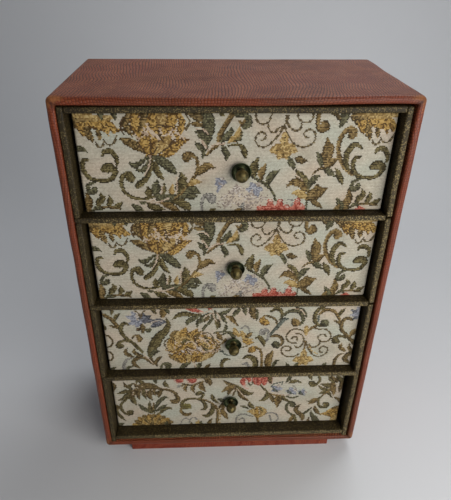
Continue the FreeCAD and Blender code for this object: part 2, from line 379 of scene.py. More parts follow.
def handCovered(place, inset, low, high):      # sag and puckers of a hand-covered box, and its mitre folds
    front, bottom, (right, back, top) = low[1], low[2], high
    x, y, z = place.T
    wobble = ripple(place, case["waveLength"], 3)[:, None] * case["unevenness"]
    moved = place + wobble * np.array((0.8, 0.5, 0.8))
    nearTop = np.clip((z - (top - case["sagDeep"])) / case["sagFade"], 0, 1)
    nearFront = np.clip((back - y) / (back - front), 0, 1) ** 1.5
    sag = -case["sag"] * np.exp(-((x - case["sagAt"]) / case["sagWide"]) ** 2)
    lift = case["lift"] * np.clip((x - case["liftStart"]) / case["liftWide"], 0, 1)
    sag += lift * np.clip((case["liftEnd"] - x) / case["liftFade"], 0, 1)
    moved[:, 2] += nearTop * nearFront * sag
    onFront = (np.abs(y - front) < 1.3) & (inset < case["wall"] + 0.1)
    fromSide = np.abs(np.abs(x) - (right - inset))
    fromEnd = np.minimum(np.abs(z - (top - inset)), np.abs(z - (bottom + inset)))
    diagonal = np.minimum(fromSide, 30) + np.minimum(fromEnd, 30)      # how far from a corner's mitre
    moved[:, 1] -= onFront * case["pucker"] * np.exp(-(diagonal / case["puckerWide"]) ** 2)
    moved[:, 1] -= onFront * case["hollow"] * np.sin(math.pi * np.clip(inset / case["wall"], 0, 1))
    folds = onFront * np.exp(-((diagonal - case["foldAt"]) / case["foldWide"]) ** 2)
    return np.clip(moved, low - case["pastLow"], high + case["pastHigh"]), folds


def drawFlat(piece, moved, around, runs):      # the cover's own flat drawing
    count = len(around)
    total = around[-1] + case["spacing"]
    flat = np.zeros((len(piece.data.loops), 2))
    for polygon in piece.data.polygons:
        loops = list(polygon.loop_indices)
        ids = [piece.data.loops[k].vertex_index for k in loops]
        columns = [v % count for v in ids]
        wrap = max(columns) - min(columns) > 1
        if len(ids) > 4:
            flat[loops] = [(moved[v][0], moved[v][2]) for v in ids]
        else:
            flat[loops] = [(total if wrap and c == 0 else around[c], runs[v // count])
                           for v, c in zip(ids, columns)]
    piece.data.uv_layers.new(name="cut").uv.foreach_set("vector", (flat * flatUnit).ravel())


def casing():
    low, high = boxOf("case_cover")
    (left, front, bottom), (right, back, top) = low, high
    inset, depth, rubbed = coverPath(front, back)
    points, wears = [], []
    for i, y, worn in zip(inset, depth, rubbed):
        ring, corner = coverRing(i, left, right, bottom, top)
        points.append(np.column_stack((ring[:, 0], np.full(len(ring), y), ring[:, 1])))
        wears.append(np.clip(worn * 0.5 + corner * (0.5 if worn or i else 0.22), 0, 1))
    count = len(points[0])
    moved, folds = handCovered(np.vstack(points), np.repeat(inset, count), low, high)

    faces, bare = [], []      # bare faces show the greyboard behind the turn-in
    rings = len(inset)
    for r in range(rings - 1):
        for c in range(count):
            d = (c + 1) % count
            faces.append((r * count + c, (r + 1) * count + c, (r + 1) * count + d, r * count + d))
            behind = front + case["turnIn"] - 0.1 < depth[r] < back - case["wall"]
            bare.append(behind and inset[r] > case["wall"] - 0.2)
    faces.append(tuple(range(count)))
    faces.append(tuple(reversed(range((rings - 1) * count, rings * count))))
    bare += [False, True]
    piece = meshPiece("leatheretteCase", moved * mm, faces, leatherette)
    piece.data.materials.append(greyboard)
    piece.data.polygons.foreach_set("material_index", np.array(bare, int))
    runs = np.concatenate(([0], np.cumsum(np.hypot(np.diff(inset), np.diff(depth)))))
    around = np.concatenate(([0], np.cumsum(np.hypot(*np.diff(points[8][:, (0, 2)], axis=0).T))))
    drawFlat(piece, moved, around, runs)
    for name, values in (("wear", np.concatenate(wears)), ("fold", folds)):
        piece.data.attributes.new(name, "FLOAT", "POINT").data.foreach_set("value", values)
    outward(piece, merge=False)
    finishPiece(piece, "cabinet", "leatherette", "case_cover", "case_top", "case_bottom", "case_left",
                "case_right", "case_back")


casing()
print("casing covered")


# boards in gold paper

board = {"round": 0.9, "cell": 3.0, "wave": 0.128, "waveLength": 38, "lipWave": 0.1, "lipWaveLength": 30}


def softBox(low, high, radius, cell):      # closed box with rounded edges, in mm
    ticks = []
    for a, b in zip(low, high):
        r = min(radius, (b - a) * 0.45)
        bend = [r * math.tan(math.pi / 4 * k / 3) for k in (1, 2, 3)]
        middle = np.linspace(a + r, b - r, max(2, int((b - a) / cell) + 1))
        ticks.append(np.concatenate(([a + r - t for t in reversed(bend)], middle, [b - r + t for t in bend])))
    points, faces = [], []
    for axis in range(3):
        u, v = (axis + 1) % 3, (axis + 2) % 3
        for side in (0, -1):
            base = len(points)
            for a in ticks[u]:
                for b in ticks[v]:
                    p = [0, 0, 0]
                    p[axis], p[u], p[v] = ticks[axis][side], a, b
                    points.append(p)
            n = len(ticks[v])
            for i in range(len(ticks[u]) - 1):
                for k in range(base + i * n, base + i * n + n - 1):
                    quad = (k, k + n, k + n + 1, k + 1)
                    faces.append(quad if side else quad[::-1])
    points = np.array(points)
    half = (np.array(high) - np.array(low)) / 2
    limit = np.minimum(radius, half * 0.9)
    middle = (np.array(high) + np.array(low)) / 2
    inner = np.clip(points, middle - (half - limit), middle + (half - limit))
    away = points - inner
    length = np.linalg.norm(away / limit, axis=1)
    points = inner + away / np.maximum(length, 1e-9)[:, None]
    return points, faces


def paperBoard(node, seed):
    low, high = boxOf(node)
    points, faces = softBox(low, high, board["round"], board["cell"])
    thin = int(np.argmin(high - low))
    points[:, thin] += ripple(points * (1, 0.35, 1), board["waveLength"], seed) * board["wave"]
    lip = ripple(points, board["lipWaveLength"], seed + 50) * board["lipWave"]
    points[:, 1] += lip * (points[:, 1] < low[1] + 2)
    piece = meshPiece(node.replace("liner", "lining") + "_papered", points * mm, faces, goldPaper)
    outward(piece)
    finishPiece(piece, "cabinet", "gold_paper", node)


liningBoards = ["liner_top", "liner_floor", "shelf_1", "shelf_2", "shelf_3"]
liningBoards += ["liner_%s_%d" % (side, k) for side in ("left", "right") for k in (1, 2, 3, 4)]
for seed, node in enumerate(liningBoards, 10):
    paperBoard(node, seed)
print("lining papered")


# the woven design, in mm: x from the middle, z upwards, drawn stroke by stroke on the stitches
yarns = {      # dark, middle and light thread of each colour
    "olive": ((0.028, 0.020, 0.006), (0.097, 0.075, 0.027), (0.224, 0.184, 0.081)),
    "moss": ((0.026, 0.022, 0.010), (0.081, 0.072, 0.036), (0.186, 0.175, 0.095)),
    "slate": ((0.032, 0.036, 0.028), (0.082, 0.092, 0.074), (0.192, 0.206, 0.172)),
    "dusk": ((0.040, 0.041, 0.046), (0.102, 0.104, 0.120), (0.238, 0.239, 0.260)),
    "brown": ((0.034, 0.021, 0.006), (0.106, 0.071, 0.025), (0.252, 0.180, 0.078)),
    "bronze": ((0.046, 0.027, 0.007), (0.156, 0.101, 0.034), (0.316, 0.220, 0.089)),
    "ochreGreen": ((0.060, 0.048, 0.014), (0.160, 0.135, 0.040), (0.290, 0.250, 0.090)),
    "ochre": ((0.090, 0.046, 0.012), (0.336, 0.199, 0.048), (0.521, 0.346, 0.111)),
    "gilt": ((0.215, 0.132, 0.043), (0.404, 0.276, 0.099), (0.550, 0.412, 0.185)),
    "red": ((0.200, 0.030, 0.020), (0.410, 0.088, 0.058), (0.580, 0.230, 0.165)),
    "blush": ((0.420, 0.210, 0.160), (0.560, 0.360, 0.290), (0.640, 0.520, 0.430)),
    "blue": ((0.155, 0.162, 0.195), (0.262, 0.270, 0.312), (0.450, 0.450, 0.470)),
    "thread": ((0.046, 0.031, 0.012), (0.128, 0.091, 0.042), (0.294, 0.237, 0.124)),
    "grey": ((0.110, 0.100, 0.088), (0.235, 0.220, 0.192), (0.400, 0.380, 0.330)),
    "faint": ((0.230, 0.180, 0.146), (0.400, 0.345, 0.290), (0.600, 0.555, 0.500)),
    "vein": ((0.360, 0.260, 0.180), (0.520, 0.410, 0.300), (0.620, 0.530, 0.410)),
    "shade": ((0.036, 0.019, 0.007), (0.076, 0.044, 0.018), (0.166, 0.101, 0.044)),
}
groundYarn = (0.508, 0.463, 0.378)
bloomy = {"rough": 1.45, "core": 0.1, "weft": 0.05}      # gold petals are more speckled than leaves
dashShare = 0.66      # how much of each dash is the darker thread


class Tapestry:
    def __init__(self, firstColumn, lastColumn, firstRow, lastRow, seed):
        self.firstRow, self.firstColumn, self.width = firstRow, firstColumn, lastColumn - firstColumn
        self.row = np.repeat(np.arange(firstRow, lastRow), self.width)
        self.column = np.tile(np.arange(firstColumn, lastColumn), lastRow - firstRow)
        self.rng = np.random.default_rng(seed)
        self.chance = self.rng.random(len(self.row))
        self.start = (0, 0)      # moves the strokes that follow

    def place(self, x, z, wide, high):      # where the first stitch of the face lies in the design
        self.x = x + (self.column + 0.5 - 0.5 * (self.row % 2)) * wide
        self.z = z + (self.row + 0.5) * high
        self.ground()

    def at(self, row, column):
        return self.colour[(row - self.firstRow) * self.width + column - self.firstColumn]

    def ground(self):
        base = np.array(groundYarn)
        cloud = 0.5 + 0.5 * np.sin(self.x * 0.11 + 1.3 * np.sin(self.z * 0.13)) * np.sin(self.z * 0.17 + 0.6)
        cool, warm = np.array((0.90, 0.99, 0.99)), np.array((1.06, 0.98, 0.93))
        tint = cool + (warm - cool) * cloud[:, None]
        line = 0.96 + 0.08 * ((self.row * 7) % 3 == 0)
        self.colour = base * tint * (line * (0.86 + 0.24 * self.chance))[:, None]

    # one stroke of yarn along the points: edge is where its dark outline starts, lean makes one side
    # lighter, core darkens the middle and weft every second row, saw and teeth cut its sides, dash breaks
    # it up, fill leaves stitches out and rough makes it uneven
    def sew(self, yarn, widths, *points, edge=0.72, lean=0.25, core=0.0, weft=0.13, saw=0.0, teeth=None,
            dash=0.0, fill=1.0, rough=0.95):
        path = smoothPath(points) + np.array(self.start)
        steps = np.linspace(0, 1, len(path))
        width = np.interp(steps, np.linspace(0, 1, len(widths)), widths) / 2
        if saw:
            teeth = teeth or np.hypot(*(path[-1] - path[0])) / 1.9
            width = width * (1 + saw * (np.abs((steps * teeth) % 1 - 0.5) * 2 - 0.5))
        reach = width.max() + 0.5
        low, high = path.min(0) - reach, path.max(0) + reach
        near = (self.x > low[0]) & (self.x < high[0]) & (self.z > low[1]) & (self.z < high[1])
        cells = np.flatnonzero(near)
        if not len(cells):
            return
        dx = self.x[cells, None] - path[None, :, 0]
        dz = self.z[cells, None] - path[None, :, 1]
        best = np.argmin(np.hypot(dx, dz) - width * 0.35, axis=1)
        pick = np.arange(len(cells))
        away = np.hypot(dx[pick, best], dz[pick, best])
        run = np.gradient(path, axis=0)[best]
        side = np.sign(run[:, 0] * dz[pick, best] - run[:, 1] * dx[pick, best])
        side = side * away / np.maximum(width[best], 0.05)      # from -1 to 1 across the stroke
        inside = np.abs(side) <= 1
        if fill < 1:
            inside &= self.chance[cells] < fill
        cells, side, best = cells[inside], side[inside], best[inside]
        tone = 0.5 + lean * side + rough * (self.rng.random(len(cells)) - 0.5)
        tone += weft * (2 * (self.row[cells] % 2) - 1)
        tone = np.where(np.abs(side) > edge, tone - 0.4, tone - core * (1 - np.abs(side)))
        if dash:
            length = np.concatenate(([0], np.cumsum(np.hypot(*np.diff(path, axis=0).T))))[best]
            tone = np.where((length % dash) < dashShare * dash, tone - 0.3, tone + 0.15)
        dark, middle, light = (np.array(c) for c in yarns[yarn])
        tone = np.clip(tone, 0, 1)[:, None]
        darker = dark + (middle - dark) * np.clip(tone * 2, 0, 1)
        lighter = middle + (light - middle) * np.clip(tone * 2 - 1, 0, 1)
        self.colour[cells] = np.where(tone < 0.5, darker, lighter)

    def petal(self, yarn, widths, *points, **more):
        self.sew(yarn, widths, *points, **bloomy, **more)

    def line(self, *points, width=1.0, yarn="thread", dash=2.4, fill=1.0):
        self.sew(yarn, (width, width), *points, edge=2, lean=0, dash=dash, fill=fill, rough=0.3, weft=0)


def smoothPath(points, per=14):      # even curve through the points
    p = np.asarray(points, float)
    if len(p) == 2:
        return p[0] + (p[1] - p[0]) * np.linspace(0, 1, 2 * per)[:, None]
    p = np.vstack((2 * p[0] - p[1], p, 2 * p[-1] - p[-2]))
    t = np.linspace(0, 1, per, endpoint=False)[:, None]
    runs = []
    for a, b, c, d in zip(p, p[1:], p[2:], p[3:]):
        squared, cubed = (2 * a - 5 * b + 4 * c - d) * t ** 2, (3 * b - a - 3 * c + d) * t ** 3
        runs.append(0.5 * (2 * b + (c - a) * t + squared + cubed))
    return np.vstack(runs + [p[-2:-1]])


def spoke(a, b, *shares):      # points on the way from a to b
    return [(a[0] + share * (b[0] - a[0]), a[1] + share * (b[1] - a[1])) for share in shares]


def smallFlower(w, x, z, size, petalCount, turn, yarn="blue"):
    for k in range(petalCount):
        a = math.radians(turn + k * 360 / petalCount)
        path = [(x + share * size * math.cos(a), z + share * size * math.sin(a)) for share in (0, 0.55, 1)]
        w.sew(("faint", yarn)[k % 3 > 0], (0.5 * size, 0.8 * size, 0.2 * size), *path, rough=1.2, lean=0)


def diamondFlower(w, x, z):
    for dx, dz, width in ((0, 7.6, 4.6), (-6.8, -2.2, 5.8), (6.8, -2.2, 5.8), (-2.6, -6.4, 5.2),
                          (2.4, -6.6, 5.2)):
        path = [(x + share * dx, z + share * dz) for share in (0, 0.45, 0.75, 1)]
        w.petal("gilt", (0.7 * width, width, 0.7 * width, 0.8), *path)
    for dx, dz in ((0, 4.6), (-3.6, -1.6), (3.6, -1.6), (0.2, -5)):
        w.sew("bronze", (0.9, 0.8), (x, z), (x + dx, z + dz), fill=0.7, rough=1.2)
    w.petal("gilt", (3, 3.4), (x - 0.2, z - 0.6), (x + 0.2, z - 0.6))


def leftScroll(w, x, z):      # the scroll and sprays that repeat at both ends
    w.start = (x, z)
    w.sew("olive", (1.5, 2.3, 2.6, 2.6, 2.4, 2.2, 2.4, 2.8, 3.6, 5.2, 5.4, 3.6), (64, 30.6), (61.6, 30.2),
          (60.7, 26.8), (61.8, 22.8), (64.6, 20.2), (68.6, 19.2), (73, 19.4), (76, 21.6), (76.8, 24.6),
          (74.6, 26.4), (72.8, 26), (71.2, 25.4))
    w.sew("olive", (1.4, 2.8, 3, 2.6, 2.2, 0.8), (71.4, 33), (73, 35), (75.8, 35), (77.8, 32.8), (78.4, 30),
          (77.8, 27.6))
    w.sew("moss", (1.2, 2, 2.4, 3.2, 3.6, 2.4), (66.2, 18.4), (63, 17.4), (61.8, 14.8), (62.8, 12.8),
          (64.8, 13.6), (65.4, 15))
    w.sew("bronze", (2, 4.8, 4, 0.8), (60.4, 1), (60.8, 5), (61.4, 8.6), (60.4, 12.4))
    w.sew("olive", (2, 3.8, 3.6, 0.8), (65.8, 4.6), (66.8, 7), (68.6, 9.4), (67.8, 12.4), lean=-0.4)
    w.sew("olive", (1.6, 3.8, 0.8), (71, 4.6), (72.6, 7.4), (72.4, 10.8), lean=-0.4)
    w.sew("olive", (1.6, 3.8, 0.8), (73.6, 3.4), (76.2, 4.6), (78.8, 6.8))
    w.sew("brown", (1.4, 1.6, 1.6, 1.2), (60.6, 1), (66, 3.4), (72, 3.8), (77.6, 2.8))
    w.sew("moss", (1.2, 2.8, 1), (62.6, 2), (65.4, 3.6), (67.6, 2.4))
    w.petal("bronze", (3.4, 6.8, 5.6, 2.4), (57.6, 51.6), (62, 49.4), (66.4, 48.8), (70.4, 48.6))
    w.petal("ochre", (3, 6.6, 5.6, 1.4), (66.4, 49), (71.4, 48.6), (76, 48.2), (80.8, 45.6))
    w.petal("gilt", (2.4, 3.4, 2.4), (60, 53.4), (69, 52), (79.4, 52.4))
    for u, drop, width in ((62.4, 42.9, 4.4), (74.4, 43.3, 3.4), (77.8, 44.4, 2.6)):
        w.petal("ochre", (width, width, 0.6 * width, 0.8), (u, 48), (u + 0.6, 46), (u + 0.9, 44.6),
                (u + 1.2, drop))
    w.petal("bronze", (2.2, 4, 3.4, 1.4), (65.2, 47.2), (66, 44.6), (66.6, 42.6), (67.4, 40.4))
    w.petal("bronze", (1.6, 3, 1.6), (70.2, 45.8), (71, 43.8), (71.2, 41.6))
    w.line((69, 39.4), (70, 37.5), (72, 37.8), (73.2, 40.8))
    w.line((73.2, 40.4), (75.4, 38.3), (78, 39.6), (79.6, 43.2))
    w.start = (0, 0)


def firstCut(w):      # upper two drawers
    leftScroll(w, 0, 0)
    leftScroll(w, -139.4, -0.8)
    w.sew("moss", (1.4, 3.6, 2.4, 1), (-81, 36), (-79, 35.8), (-77, 35.2), (-75.4, 34.2))
    w.sew("moss", (4.4, 3.4, 0.8), (-67, 55), (-66.4, 53), (-66.2, 50.6))
    w.sew("moss", (4, 2.6, 0.8), (-60.4, 55), (-59.8, 52.6), (-59.8, 50.4))
    # bloom in its cup
    w.line((-53.4, 51.8), (-56.2, 50.2), (-57.4, 47), (-56.4, 43.4), width=1.1, yarn="shade")
    w.line((-25, 52.6), (-23.6, 49.4), (-25.4, 45.4), width=1.1)
    w.sew("vein", (14, 21, 16, 6), (-41, 55), (-41.4, 48), (-42, 40), (-43, 34), rough=1.2)
    w.petal("ochre", (18, 26, 20, 9), (-41, 55), (-41.4, 48), (-42, 40), (-43, 34), fill=0.4)
    w.petal("bronze", (2, 3.6, 3.8, 1.6), (-52, 54), (-54.6, 50), (-54.4, 46), (-52.4, 42.8))
    w.petal("ochre", (3, 5.6, 4.8, 1.4), (-49.6, 54), (-50.2, 50), (-50, 46), (-48.8, 41.8))
    w.sew("bronze", (2.4, 3.8, 3, 1), (-46, 54), (-45.8, 51), (-46.8, 48), (-48.6, 43.6), lean=0.6)
    w.sew("moss", (2, 2.4, 0.8), (-43.2, 54), (-43.4, 51.4), (-44, 48.4))
    w.line((-51.8, 52), (-52.4, 47), (-51, 42.8), width=0.8, yarn="shade", dash=0, fill=0.7)
    w.petal("ochre", (3, 4.6, 4.2, 1.2), (-41, 54), (-42, 50.4), (-41.2, 46), (-39, 41.4))
    w.petal("gilt", (4, 5.4, 3.4), (-37, 54), (-37.2, 50.6), (-37.6, 47.4))
    w.petal("ochre", (4, 5.4, 4.6, 1.6), (-32, 54.4), (-32, 51), (-33.4, 47.6), (-36, 44))
    w.petal("ochre", (2, 3.4, 3.6, 3, 1), (-28.8, 53.6), (-27.4, 50), (-27.8, 46), (-29.4, 42.8),
            (-30.2, 40.6))
    w.line((-42, 46.4), (-38.4, 47.6), (-34.6, 46.8), (-30, 47.4), width=0.9, yarn="shade", dash=0, fill=0.8)
    w.sew("shade", (1, 2, 1.4), (-38.4, 46.6), (-38.6, 44), (-39.6, 41.4), fill=0.6)
    w.petal("bronze", (1, 4.6, 5, 1.8), (-58.4, 40.8), (-54.6, 39.4), (-50.6, 37), (-46, 33.6))
    w.petal("ochre", (2.2, 6, 6, 2), (-46.8, 42.2), (-46.2, 39.6), (-45.4, 36.6), (-44, 32.8))
    w.petal("ochre", (1.6, 4.4, 4.4, 1.6), (-41.2, 41), (-41.4, 38.6), (-42, 35.8), (-42.8, 32.8))
    w.petal("gilt", (1.6, 6, 6.4, 2), (-34, 41.4), (-36, 39.4), (-38.4, 36.6), (-41.4, 33))
    w.petal("ochre", (0.8, 3.4, 4.6, 4.4, 1.4), (-24.2, 40.4), (-27.6, 39.4), (-31, 36.6), (-34.6, 33.4),
            (-38.6, 31.4), saw=0.25)
    for a, b, c in (((-50, 42), (-48.8, 37), (-46, 33.4)), ((-43.4, 41.4), (-43.6, 36), (-43.2, 33)),
                    ((-38.8, 41), (-40, 36.6), (-42, 33)), ((-31.4, 40.4), (-35, 36), (-40.4, 32.6))):
        w.line(a, b, c, width=0.9, yarn="shade", dash=0, fill=0.75)
    w.line((-44.6, 48), (-43.4, 45.6), (-41, 43), (-38.4, 40.6), width=1.3, yarn="vein", dash=0, fill=0.85)
    w.line((-31, 45), (-29.2, 42.6), (-26.6, 40.6), width=1.2, yarn="vein", dash=0, fill=0.85)
    w.line((-50.8, 42.8), (-48.6, 41.2), (-46.2, 42), width=0.9, yarn="vein", dash=0, fill=0.7)
    w.sew("shade", (1.2, 2.6, 1.2), (-38.8, 43.4), (-37.6, 41.4), (-36.8, 39.2), fill=0.75, rough=1.1)
    # leaves below it
    w.sew("moss", (1.2, 3, 2.6, 1.4), (-54.8, 28), (-52, 26.6), (-49.4, 28.2), (-45, 31.4), saw=0.4)
    w.sew("moss", (1, 2.8, 3, 1.2), (-51.6, 24.2), (-48.4, 24), (-45.8, 26.8), (-43.8, 31.2))
    w.sew("vein", (1, 1.2, 1), (-43.8, 31), (-45, 26), (-47.6, 20.8))
    w.sew("olive", (1, 1.8, 2.4, 3.2, 3.8, 2.6), (-42.8, 31.6), (-43.4, 27), (-45.4, 22), (-48, 18.4),
          (-50.4, 16.4), (-51.8, 15.2), lean=0.5)
    w.sew("moss", (1.6, 4.8, 5, 4, 0.8), (-42.2, 31.2), (-38.8, 29.4), (-35.6, 26.8), (-33, 24.2),
          (-31.2, 21.8), saw=0.3)
    w.sew("olive", (1.6, 3.8, 3.4, 0.8), (-42, 28.4), (-41.4, 24.6), (-40, 21.4), (-37.8, 18.6), lean=0.5)
    # curl that runs into the fern
    w.sew("olive", (1.6, 1.8, 2, 2, 2.1, 2.3, 3, 5, 5.4, 3.2), (-43.4, 9.4), (-47.6, 8), (-52.4, 8),
          (-56.8, 10), (-59.4, 13.6), (-59.8, 17.6), (-58.6, 20.6), (-56, 21.2), (-55, 20), (-54.4, 18.6))
    w.sew("olive", (1.6, 4, 0.8), (-46.4, 8.6), (-46.2, 11.4), (-46.6, 14.8))
    w.sew("moss", (1.8, 4.6, 4, 0.8), (-42, 9), (-42.2, 12.4), (-41.8, 15.4), (-41.4, 18.4), saw=0.3)
    w.sew("olive", (1.4, 2.6, 0.8), (-38.6, 10), (-38, 13), (-37.6, 16.8))
    w.sew("gilt", (1.4, 3, 0.8), (-34.4, 9.4), (-34, 12.4), (-33.2, 16.4), lean=-0.5)
    w.sew("olive", (2, 5.4, 5.4, 4, 0.8), (-30.4, 9.6), (-29.4, 13), (-28.6, 16.4), (-28, 19.4), (-29, 22.8),
          saw=0.25, lean=-0.4)
    w.sew("vein", (0.9, 0.9, 0.9), (-44.6, 6.6), (-40, 9.4), (-39, 14.4))
    w.sew("vein", (0.9, 0.9, 0.9), (-33, 8.4), (-31.4, 12), (-31, 20))
    w.sew("moss", (5, 6, 4.6, 3), (-40, 7.6), (-35, 7.4), (-30.4, 8.4), (-26.4, 9.4), saw=0.3, teeth=9)
    w.sew("bronze", (1.4, 1.6, 1.5, 1.5, 1.9, 2, 2.2, 4.6, 5, 3.4), (-33, 7.4), (-28, 12), (-24.6, 17),
          (-21.2, 21.4), (-20, 25.6), (-20.6, 30), (-23, 32.4), (-25, 31.8), (-25.6, 30.6), (-25.6, 29.6),
          lean=0.1)
    w.sew("bronze", (1.2, 4.6, 4.2, 0.8), (-19.4, 21.6), (-17.4, 24.4), (-15, 26.2), (-11.2, 25), lean=0.5)
    w.petal("gilt", (1.4, 3.6, 1), (-24.4, 15.4), (-21.6, 17.4), (-18.6, 17.4))
    w.sew("moss", (1.6, 4.8, 3.6, 0.8), (-27, 10.4), (-23.8, 13), (-21.4, 12), (-18.6, 10.6), saw=0.3)
    w.sew("moss", (1.2, 3.4, 0.8), (-27, 8.8), (-23.6, 8.8), (-20.6, 9.6))
    w.sew("vein", (1, 1, 1), (-49, 6), (-42, 5.8), (-36, 8))
    w.sew("olive", (1.4, 4, 4.2, 1), (-47.4, 5.4), (-45, 3.4), (-42, 2.4), (-38.6, 1.6))
    w.sew("moss", (2, 4, 1.2), (-55, 4.2), (-52.6, 2.4), (-50, 1))
    w.sew("moss", (1, 2, 0.8), (-51.4, 6), (-49.4, 5.4), (-47.6, 5.8))
    w.sew("bronze", (1.4, 4.4, 4, 1), (-40, 5.4), (-36.4, 4), (-33.6, 2.4), (-31, 0.8))
    w.sew("olive", (1.6, 5, 4.6, 1), (-33.6, 6.4), (-29.4, 5.2), (-26.4, 3.2), (-24.6, 0.6), saw=0.3)
    w.sew("grey", (1.6, 1.8, 1.8, 2.2, 4.8, 5.2, 4), (-18.4, -1), (-18.4, 4), (-17.6, 8), (-16, 9.8),
          (-13.8, 9), (-12.8, 7.6), (-12.6, 6.6))
    w.sew("olive", (2.6, 3, 1), (-14, -1), (-12.6, 0.6), (-11, 1.6))
    # dark spray above the middle
    w.sew("moss", (1, 2.6, 4.6, 6.2, 6.8, 6.4), (-17.4, 30.4), (-16.6, 35), (-15.4, 40), (-14.4, 44.6),
          (-14.4, 49), (-16, 55), lean=-0.1)
    w.sew("moss", (1, 3.6, 0.8), (-17, 33.8), (-18.6, 36.6), (-21.2, 39))
    w.sew("moss", (1.4, 4.8, 3.8, 0.8), (-15.4, 38.4), (-17, 41.8), (-18.4, 43.6), (-20.8, 44.4))
    w.sew("bronze", (1.6, 3.2, 1), (-17.6, 47.6), (-20, 48), (-23, 48.4))
    w.sew("brown", (4, 4.4, 1), (-18.6, 51), (-21, 52.4), (-25, 54.4))
    w.sew("vein", (0.9, 0.9, 0.9), (-15.4, 35.6), (-17, 38.6), (-18.4, 40.4))
    w.sew("vein", (0.9, 0.9, 0.9), (-14.8, 43.4), (-17, 45.4), (-20.4, 45.8))
    # brown and olive spray
    w.sew("bronze", (0.8, 2.4, 2.6, 2.6, 2.8, 3, 2.6), (-15.6, 31.6), (-13, 35), (-9.6, 38), (-8.8, 42),
          (-6.4, 47), (-3.6, 51), (-1, 54.6), lean=0.5)
    w.sew("vein", (1, 1.1, 1), (-14.4, 34.8), (-10.8, 37.8), (-6.6, 38.2))
    w.sew("moss", (1.4, 4, 3.4, 0.8), (-8, 39), (-5.4, 41.4), (-3.4, 43.8), (-2.6, 46.4))
    w.sew("gilt", (1, 3.4, 3, 0.8), (-4.8, 38.6), (-1.4, 40.6), (0.6, 43.4), (1, 47), lean=0.5)
    w.sew("olive", (0.8, 2.4, 0.8), (-1.6, 39.4), (1.2, 40.6), (2.4, 44))
    w.sew("moss", (1.4, 3.4, 3.6, 0.8), (-7.4, 37), (-6.2, 34.6), (-5, 32), (-5.6, 29))
    w.sew("olive", (1.2, 1.6, 2.8, 3.4, 1), (-4, 37), (0.4, 37.6), (2.8, 35.8), (4, 33.4), (4.6, 30.4))
    w.sew("moss", (2.2, 2.8, 3.4, 3.8, 3), (-0.6, 52.4), (3, 52.6), (5.4, 50.6), (5.4, 48), (3.4, 46.8))
    w.sew("bronze", (1.2, 2, 1), (0.6, 49.4), (2.4, 48.4), (3.4, 50))
    w.sew("olive", (2.6, 2, 0.8), (-9.6, 55), (-8, 53), (-6.6, 52))
    # line scrolls and their small flower
    w.line((8.8, 53), (9.6, 49.6), (12.4, 48), (15.6, 49.4), (16.8, 53))
    w.line((15, 49), (15.6, 46), (17, 44), (19, 44), (20.6, 46), (22.4, 46.8), (23.8, 48.6), (24, 52))
    w.line((25, 52), (24.8, 49), (26, 46.6), (28.8, 44.6), (31.4, 45.6), (32, 48.4))
    w.line((29.6, 53), (30.4, 50.6), (32.6, 49), (35.4, 49), (37.2, 51), (37.4, 54))
    w.line((18, 39), (14.6, 36.4), (11.6, 36.6), (9.4, 39), (9.6, 42), (12, 43.9), (14.2, 42.8), (14.2, 40.8),
           (12.6, 39.8))
    w.line((23.6, 46.8), (25.6, 42.4), (27.8, 39), (30.8, 36.8), (34.6, 36.2), (38.4, 38), (39.6, 41),
           (38.6, 44), (36, 45.2), (33.8, 43.8), (34, 41.6), (36.2, 41))
    w.line((23, 46.8), (21.4, 43.4), (19.4, 40.6), (16.8, 37.6))
    diamondFlower(w, 23.9, 36.2)
    w.sew("moss", (1, 3.2, 3.4, 1), (29.8, 24), (29.2, 26.4), (28, 28.6), (26.8, 30.8))
    w.sew("brown", (1.6, 4.2, 3.4, 0.8), (30.4, 30), (32.4, 29.4), (34, 28.8), (36.6, 28.6))
    # right of the knob
    w.sew("olive", (2, 5, 4, 0.8), (9.4, 19.8), (8.8, 23.4), (9.6, 27), (11.2, 30.8), saw=0.25)
    w.sew("bronze", (1.8, 4, 3, 0.8), (13.2, 18.4), (13, 21.6), (14, 24.4), (15, 27), lean=0.5)
    w.sew("moss", (1.6, 4.4, 3.8, 0.8), (16.6, 15.4), (17.6, 18.6), (19.4, 21.8), (22.4, 23.6), lean=0.55)
    w.sew("moss", (1.6, 2, 1.8, 1.5, 1.3, 1.4), (8.8, 20), (13, 17.4), (16.2, 15), (18.6, 12.6), (20.4, 9.6),
          (21.6, 6.4))
